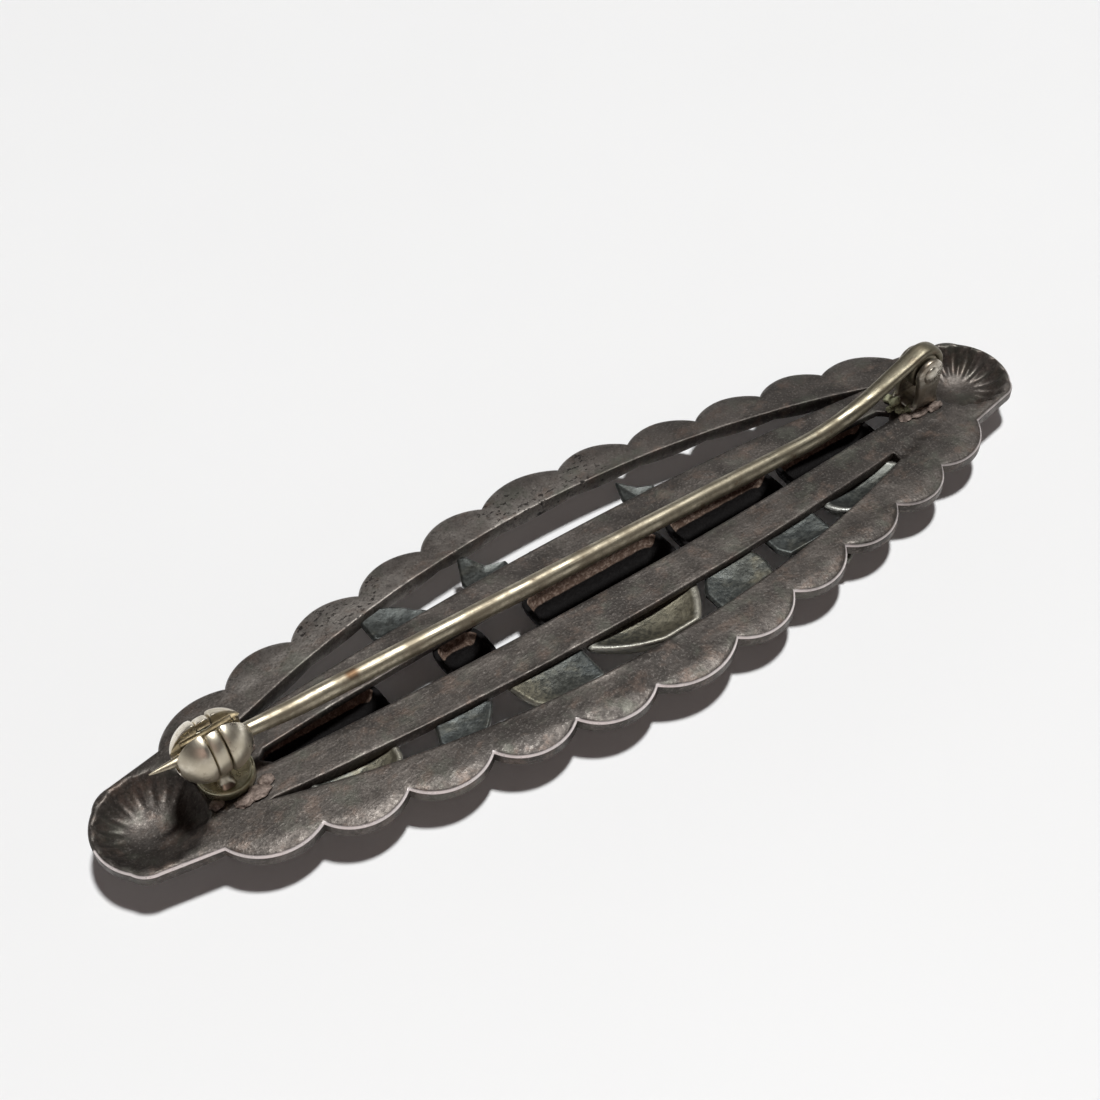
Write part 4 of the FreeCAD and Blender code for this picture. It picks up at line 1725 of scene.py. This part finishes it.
@dataclass
class PinStem:
    """Drawn wire with a ground point, arched over the hinge and curled round the rivet."""

    finish: Finish
    hinge: Flat = (23.2, 5.02)
    tip: Flat = (-26.4, 5.59)
    point_start: Flat = (-25.0, 5.45)
    point_radius: float = 0.26
    knee: Flat = (-19.0, 4.85)
    low: Flat = (12.0, 3.85)
    radius: float = 0.515
    knee_radius: float = 12.0
    arch_radius: float = 14.0
    arch_angle: float = 24.0
    curl_outside: float = 1.52
    curl_thick: float = 0.52
    curl_wide: float = 1.08
    curl_turn: float = 205.0
    around: int = 32
    flatten_from: float = 17.0
    flat_by: float = 22.5
    flat_square: float = 0.35
    curl_steps: int = 34
    curl_thinning: float = 0.35
    curl_narrowing: float = 0.12
    rust_x: float = -15.6
    eye_half: float = 0.46
    eye_bore: float = 0.4

    def arch_corner(self, top: Flat) -> Flat:
        """Corner where the shank's line meets the line that rises to the curl.

        Args:
            top: where the arch meets the curl.

        Returns:
            The corner's X and Z.
        """
        slope = (self.low[1] - self.knee[1]) / (self.low[0] - self.knee[0])
        steep = math.tan(math.radians(self.arch_angle))
        x = (top[1] - self.low[1] + slope * self.low[0] - steep * top[0]) / (slope - steep)
        return x, self.low[1] + slope * (x - self.low[0])

    def way(self) -> list[tuple[float, float, float, float]]:
        """The wire's middle line: X, Z, half width and half height at each station.

        Returns:
            The stations, from the point to the curl's end.
        """
        half_thick = self.curl_thick / 2
        reach = self.curl_outside - half_thick
        rise = math.radians(self.arch_angle)
        top = (self.hinge[0] - reach * math.sin(rise), self.hinge[1] + reach * math.cos(rise))
        corner = self.arch_corner(top)
        line = self.rounded([self.tip, self.point_start, self.knee, corner, top],
                            [0.0, 1.2, self.knee_radius, self.arch_radius, 0.0])
        stations = []
        for x, z in line:
            size = self.size_at(x)
            flatten = smooth(self.flatten_from, top[0], x)
            stations.append((x, z, size + (self.curl_wide / 2 - size) * flatten,
                             size + (half_thick - size) * flatten))
        steps = self.curl_steps
        for i in range(1, steps + 1):
            turn = math.pi / 2 + rise - math.radians(self.curl_turn) * i / steps
            thin = 1 - self.curl_thinning * smooth(0.8, 1.0, i / steps)
            stations.append((self.hinge[0] + reach * math.cos(turn), self.hinge[1] + reach * math.sin(turn),
                             self.curl_wide / 2 * (1 - self.curl_narrowing * i / steps), half_thick * thin))
        return stations

    def size_at(self, x: float) -> float:
        """Radius of the wire at a place along the bar.

        Args:
            x: the place.

        Returns:
            The radius.
        """
        if x < self.point_start[0]:
            share = (x - self.tip[0]) / (self.point_start[0] - self.tip[0])
            return 0.03 + (self.point_radius - 0.03) * max(0.0, share) ** 0.85
        share = smooth(self.point_start[0] - 2.5, self.knee[0] + 2.5, x)
        low = smooth(self.point_start[0] - 2.5, self.knee[0] + 2.5, self.point_start[0])
        share = max(0.0, (share - low) / (1 - low))
        return self.point_radius + (self.radius - self.point_radius) * share

    def rounded(self, corners: list[Flat], radii: list[float]) -> list[Flat]:
        """A line through corners, each rounded to its own radius, in short steps.

        Args:
            corners: the corners, with both ends.
            radii: radius at each corner.

        Returns:
            The line's points.
        """
        line = [Vector(corners[0])]
        for i in range(1, len(corners) - 1):
            here = Vector(corners[i])
            before = (here - Vector(corners[i - 1])).normalized()
            after = (Vector(corners[i + 1]) - here).normalized()
            turn = math.acos(max(-1.0, min(1.0, before.dot(after))))
            back = radii[i] * math.tan(turn / 2)
            start, end = here - before * back, here + after * back
            for j in range(13):
                share = j / 12
                line.append(start.lerp(here, share).lerp(here.lerp(end, share), share))
        line.append(Vector(corners[-1]))
        fine = [line[0]]
        for point in line[1:]:
            gap = (point - fine[-1]).length
            count = max(1, math.ceil(gap / 0.35))
            first = fine[-1]
            fine += [first.lerp(point, j / count) for j in range(1, count + 1)]
        return [(point.x, point.y) for point in fine]

    def make(self) -> list[bpy.types.Object]:
        """Build the wire and the eye inside its curl.

        Returns:
            Both pieces.
        """
        material = self.finish.make()
        stations = self.way()
        made = Draft()
        rows = []
        for i, (x, z, wide, tall) in enumerate(stations):
            before, after = stations[max(0, i - 1)], stations[min(len(stations) - 1, i + 1)]
            way = Vector((after[0] - before[0], 0, after[1] - before[1])).normalized()
            up = Vector((-way.z, 0, way.x))
            power = 1 - self.flat_square * smooth(self.flatten_from, self.flat_by, x)
            row = []
            for j in range(self.around):
                turn = TAU * j / self.around
                cy, cz = math.cos(turn), math.sin(turn)
                across, over = squared(turn, power)
                y, rise = across * wide, over * tall
                worn = 1 + noise.noise(Vector((x * 0.8, cy * 0.7, cz * 0.7))) * 0.014
                spot = Vector((x, 0, z)) + up * (rise * worn) + Vector((0, y * worn, 0))
                patch = noise.noise(Vector((x * 1.5, cy, cz))) + 0.3
                stain = smooth(19.5, 22.3, x) * 0.55 * smooth(-0.4, 0.9, patch)
                spill = 1 - smooth(0.25, 0.75, math.hypot(x - self.rust_x, (cy + 0.25) * 0.8))
                row.append(made.point(tuple(spot), min(1.0, stain + spill * (0.9 if cz > 0 else 0.0))))
            rows.append(row)
        made.tube(rows)
        wire = made.build("pin_stem_wire", material, Body.STEM, "stem_metal")
        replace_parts(wire, "pin_stem")
        half, bore = self.eye_half, self.eye_bore
        outer = self.curl_outside - self.curl_thick + 0.06
        profile = [(-half, bore), (-half, outer - 0.08), (-half + 0.08, outer), (half - 0.08, outer),
                   (half, outer - 0.08), (half, bore)]
        eye = turned(profile, Vector((self.hinge[0], 0, self.hinge[1])), Vector((0, 1, 0)), Vector((1, 0, 0)),
                     wear=0.4)
        return [wire, eye.build("pin_stem_eye", material, Body.STEM, "stem_metal")]


@dataclass
class BallCatch:
    """Safety catch: a fixed ring on a neck and cup, and two slotted half balls that turn in it."""

    metal: Finish
    cup_metal: Finish
    solder: Finish
    x: float = -23.2
    z: float = 5.3
    plate: float = 2.58
    ball: float = 1.6
    ring_half: float = 0.35
    ring_radius: float = 1.5
    ring_bore: float = 1.01
    ring_mouth: float = 0.42
    sleeve: float = 0.95
    sleeve_bore: float = 0.66
    sleeve_reach: float = 1.35
    play: float = 0.06
    passage_stem: float = 0.72
    passage_tip: float = 0.54
    slot_tip: float = 0.31
    slot_stem: float = 0.45
    neck_half: float = 0.62
    cup_x: float = -22.95
    cup_radius: float = 1.45
    cup_height: float = 0.58
    cup_wall: float = 0.2
    cup_floor: float = 0.3
    material: bpy.types.Material | None = field(init=False, default=None)
    ring_material: bpy.types.Material | None = field(init=False, default=None)

    def middle(self) -> Vector:
        """The middle of the ring."""
        return Vector((self.x, 0, self.z))

    def slot_half(self, x: float) -> float:
        """Half width of the entry slot, which narrows towards the tip."""
        share = (x - self.x + self.ball) / (2 * self.ball)
        return self.slot_tip + (self.slot_stem - self.slot_tip) * min(1.0, max(0.0, share))

    def dome(self, side: int, name: str, node: str) -> bpy.types.Object:
        """One half ball: +1 on the stem's side of the ring, -1 on the tip's side.

        Args:
            side: +1 or -1.
            name: name of the piece.
            node: CAD node that it stands for.

        Returns:
            The half ball.
        """
        face = self.ring_half + self.play
        passage = self.passage_stem if side > 0 else self.passage_tip
        last = math.acos(passage / self.ball)
        profile = [(face, self.sleeve + 0.01), (face, self.ball - 0.1), (face + 0.03, self.ball - 0.03)]
        steps = 22
        for i in range(1, steps + 1):
            turn = last * (0.05 + 0.93 * i / steps)
            profile.append((face + self.ball * math.sin(turn), self.ball * math.cos(turn)))
        end = face + self.ball * math.sin(last)
        profile += [(end - 0.02, passage), (end - 0.12, passage - 0.015), (self.sleeve_reach + 0.01, passage),
                    (self.sleeve_reach + 0.01, self.sleeve + 0.01)]
        profile = [(along * side, radius) for along, radius in profile]
        shape = SlottedTurning(self.middle(), profile, self.slot_half, 96)
        piece = shape.draft().build(name, self.material, Body.BARREL, "catch_metal", bevel_mm=0.045)
        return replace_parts(piece, node)

    def tube(self) -> bpy.types.Object:
        """Slotted sleeve that joins the half balls through the ring.

        Returns:
            The sleeve.
        """
        reach = self.sleeve_reach
        profile = [(-reach, self.sleeve_bore), (-reach, self.sleeve), (-reach / 2, self.sleeve),
                   (0.0, self.sleeve), (reach / 2, self.sleeve), (reach, self.sleeve),
                   (reach, self.sleeve_bore), (0.0, self.sleeve_bore)]
        shape = SlottedTurning(self.middle(), profile, self.slot_half, 64)
        piece = shape.draft().build("catch_sleeve_tube", self.material, Body.BARREL, "catch_metal",
                                    bevel_mm=0.02)
        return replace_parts(piece, "catch_sleeve")

    def ring(self) -> bpy.types.Object:
        """Fixed ring, open at the top, with a rubbed crown.

        Returns:
            The ring.
        """
        half, outer = self.ring_half, self.ring_radius
        profile = [(-half, self.ring_bore), (-half, outer - 0.1), (-half + 0.05, outer - 0.03),
                   (-half + 0.12, outer), (0.0, outer + 0.02), (half - 0.12, outer),
                   (half - 0.05, outer - 0.03), (half, outer - 0.1), (half, self.ring_bore),
                   (0.0, self.ring_bore)]
        shape = SlottedTurning(self.middle(), profile, lambda x: self.ring_mouth, 96)
        piece = shape.draft().build("catch_fixed_ring", self.ring_material, Body.BAR, "catch_metal",
                                    bevel_mm=0.03)
        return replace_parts(piece, "catch_ring")

    def neck(self) -> bpy.types.Object:
        """Neck from the cup's floor up to the ring, waisted and spread at its foot.

        Returns:
            The neck.
        """
        made = Draft()
        rows = []
        base = self.plate + self.cup_floor
        top = self.z - 1.2
        for height, wide, deep in ((0.0, 0.95, 0.5), (0.12, 0.82, 0.42), (0.3, self.neck_half, 0.35),
                                   (0.8, self.neck_half * 0.92, 0.33), (top - base, self.neck_half, 0.33)):
            row = []
            for i in range(36):
                along, across = squared(TAU * i / 36, 0.6)
                row.append(made.point((self.x + along * deep, across * wide, base + height)))
            rows.append(row)
        made.tube(rows)
        return made.build("catch_neck", self.ring_material, Body.BAR, "catch_metal")

    def cup(self) -> bpy.types.Object:
        """Shallow cup with a rolled rim.

        Returns:
            The cup.
        """
        out, inside, tall = self.cup_radius, self.cup_radius - self.cup_wall, self.cup_height
        profile = [(0.0, 0.02), (0.0, out - 0.05), (0.05, out), (tall - 0.1, out), (tall - 0.03, out - 0.03),
                   (tall, out - self.cup_wall / 2), (tall - 0.03, inside + 0.03), (tall - 0.1, inside),
                   (self.cup_floor + 0.08, inside), (self.cup_floor, inside - 0.12), (self.cup_floor, 0.02)]
        draft = turned(profile, Vector((self.cup_x, 0, self.plate)), Vector((0, 0, 1)), Vector((1, 0, 0)))
        piece = draft.build("catch_foot_cup", self.cup_metal.make(), Body.BAR, "catch_metal")
        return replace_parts(piece, "catch_cup")

    def deposits(self) -> list[bpy.types.Object]:
        """Solder round the cup.

        Returns:
            The lumps.
        """
        material = self.solder.make()
        spots = ((-22.1, -1.75, 0.62, 0.42, 0.16), (-22.9, -1.8, 0.5, 0.36, 0.12),
                 (-21.5, -1.35, 0.4, 0.34, 0.14), (-24.1, -1.2, 0.35, 0.3, 0.12),
                 (-21.4, 0.9, 0.4, 0.34, 0.14))
        made = []
        for number, (x, y, wide, deep, tall) in enumerate(spots, 1):
            draft = lump(Vector((x, y, self.plate + tall * 0.3)), Vector((wide, deep, tall)), number * 5.7)
            made.append(draft.build(f"catch_solder_{number}", material, Body.BAR, "catch_metal"))
        return made

    def make(self) -> list[bpy.types.Object]:
        """Build the whole catch.

        Returns:
            Its pieces.
        """
        self.material = self.metal.make()
        self.ring_material = self.metal.make()
        return [self.dome(-1, "catch_half_ball_tip", "catch_dome_tip_side"),
                self.dome(1, "catch_half_ball_stem", "catch_dome_stem_side"),
                self.tube(), self.ring(), self.neck(), self.cup(), *self.deposits()]


@dataclass
class Studio:
    """Plain pale table, soft light and the camera."""

    finish: Finish
    reach: float = 1.3
    rim_round: float = 0.8
    rim_turn: float = 78.0
    below: float = 0.00001
    key_tilt: Spot = (0.21, 0.07, 1.0)
    key_far: float = 3.0
    key_size: float = 0.364
    key_watts: float = 89.0
    key_colour: Colour = (0.985, 1.0, 1.0)
    fill_tilt: Spot = (-0.5, -0.9, 0.9)
    fill_far: float = 0.8
    fill_size: float = 0.5
    fill_watts: float = 0.32
    fill_colour: Colour = (1.0, 0.74, 0.68)
    sky: float = 0.014
    sky_colour: Colour = (1.0, 0.55, 0.50)
    lens: float = 51.226
    camera_place: Spot = (-0.0346639, -0.0467796, 0.0645355)
    look: tuple[Spot, Spot] = ((0.38497406, 0.57773387, -0.71973506), (0.43579894, 0.57363336, 0.69355897))

    def table(self) -> bpy.types.Object:
        """Large round table top that sweeps up into a low rim all round.

        Returns:
            The table top.
        """
        mesh = bpy.data.meshes.new("table_top")
        work = bmesh.new()
        spokes = 96
        profile = [(0.05, 0.0), (0.2, 0.0), (0.6, 0.0), (self.reach, 0.0)]
        for i in range(1, 13):
            turn = math.radians(self.rim_turn) * i / 12
            profile.append((self.reach + self.rim_round * math.sin(turn),
                            self.rim_round * (1 - math.cos(turn))))
        rows = [[work.verts.new((reach * math.cos(TAU * j / spokes), reach * math.sin(TAU * j / spokes),
                                 height - self.below)) for j in range(spokes)] for reach, height in profile]
        work.faces.new(rows[0])
        for before, after in zip(rows, rows[1:]):
            for j in range(spokes):
                other = (j + 1) % spokes
                work.faces.new((before[j], after[j], after[other], before[other]))
        for face in work.faces:
            face.smooth = True
        work.to_mesh(mesh)
        work.free()
        mesh.materials.append(self.finish.make())
        top = bpy.data.objects.new("table_top", mesh)
        bpy.context.scene.collection.objects.link(top)
        return top

    def lamp(self, name: str, way: Vector, far: float, size: float, watts: float, colour: Colour) -> None:
        """Hang a round lamp in a direction from the middle of the bar and aim it there.

        Args:
            name: its name.
            way: the direction.
            far: how far away it hangs.
            size: its width.
            watts: its power.
            colour: its colour.
        """
        data = bpy.data.lights.new(name, "AREA")
        data.shape = "DISK"
        data.size = size
        data.energy = watts
        data.color = colour
        lamp = bpy.data.objects.new(name, data)
        lamp.location = way.normalized() * far
        lamp.rotation_euler = (-way).to_track_quat("-Z", "Y").to_euler()
        bpy.context.scene.collection.objects.link(lamp)

    def camera(self) -> None:
        """Set up the camera."""
        data = bpy.data.cameras.new("view")
        data.lens = self.lens
        data.sensor_width = 36.0
        data.clip_start = 0.002
        data.clip_end = 20.0
        forward, up = Vector(self.look[0]), Vector(self.look[1])
        right = forward.cross(up).normalized()
        up = right.cross(forward).normalized()
        turn = Matrix((right, up, -forward.normalized())).transposed()
        camera = bpy.data.objects.new("view", data)
        camera.matrix_world = Matrix.Translation(self.camera_place) @ turn.to_4x4()
        bpy.context.scene.collection.objects.link(camera)
        bpy.context.scene.camera = camera

    def make(self) -> list[bpy.types.Object]:
        """Set the stage.

        Returns:
            The table top.
        """
        top = self.table()
        self.lamp("key", Vector(self.key_tilt), self.key_far, self.key_size, self.key_watts,
                  self.key_colour)
        self.lamp("fill", Vector(self.fill_tilt), self.fill_far, self.fill_size, self.fill_watts,
                  self.fill_colour)
        world = bpy.data.worlds.new("soft_room")
        world.use_nodes = True
        back = world.node_tree.nodes["Background"]
        back.inputs["Color"].default_value = (*self.sky_colour, 1.0)
        back.inputs["Strength"].default_value = self.sky
        bpy.context.scene.world = world
        bpy.context.scene.view_settings.view_transform = "Standard"
        self.camera()
        return [top]


def main() -> None:
    """Build the pin piece by piece and set the stage."""
    logging.basicConfig(level=logging.INFO, format="%(name)s: %(message)s")
    wire = NickelSilver("nickel_silver_wire", darker_from=(-8.0, 26.0, 0.0, 0.62))
    catch_metal = NickelSilver("catch_nickel", bright=(0.88, 0.82, 0.70), dull=(0.56, 0.50, 0.39),
                               roughness=0.27, lines=(3.0, 1.2, 1.2))
    cup_metal = NickelSilver("cup_nickel", bright=(0.62, 0.58, 0.42), dull=(0.30, 0.28, 0.18),
                             roughness=0.32)
    hinge_metal = NickelSilver("hinge_nickel", bright=(0.62, 0.58, 0.5), dull=(0.26, 0.22, 0.17),
                               roughness=0.3)
    solder = Crumb("old_solder", low=(0.11, 0.08, 0.065), high=(0.30, 0.235, 0.20), metallic=0.5,
                   roughness=0.5, depth_mm=0.08)
    assemblies = (BackPlate(OldSilver("oxidised_plate_silver")),
                  Pods(CrustWithPaintedShade("pod_crust_painted_shade")),
                  Leaves(LeafTarnish("leaf_tarnish")),
                  Hinge(hinge_metal, Crumb("verdigris"), solder),
                  PinStem(wire),
                  BallCatch(catch_metal, cup_metal, solder),
                  Studio(PaleTable("pale_table")))
    for assembly in assemblies:
        for piece in assembly.make():
            LOG.info("%s: built %s, %d faces", type(assembly).__name__, piece.name, len(piece.data.polygons))


if __name__ == "__main__":
    main()
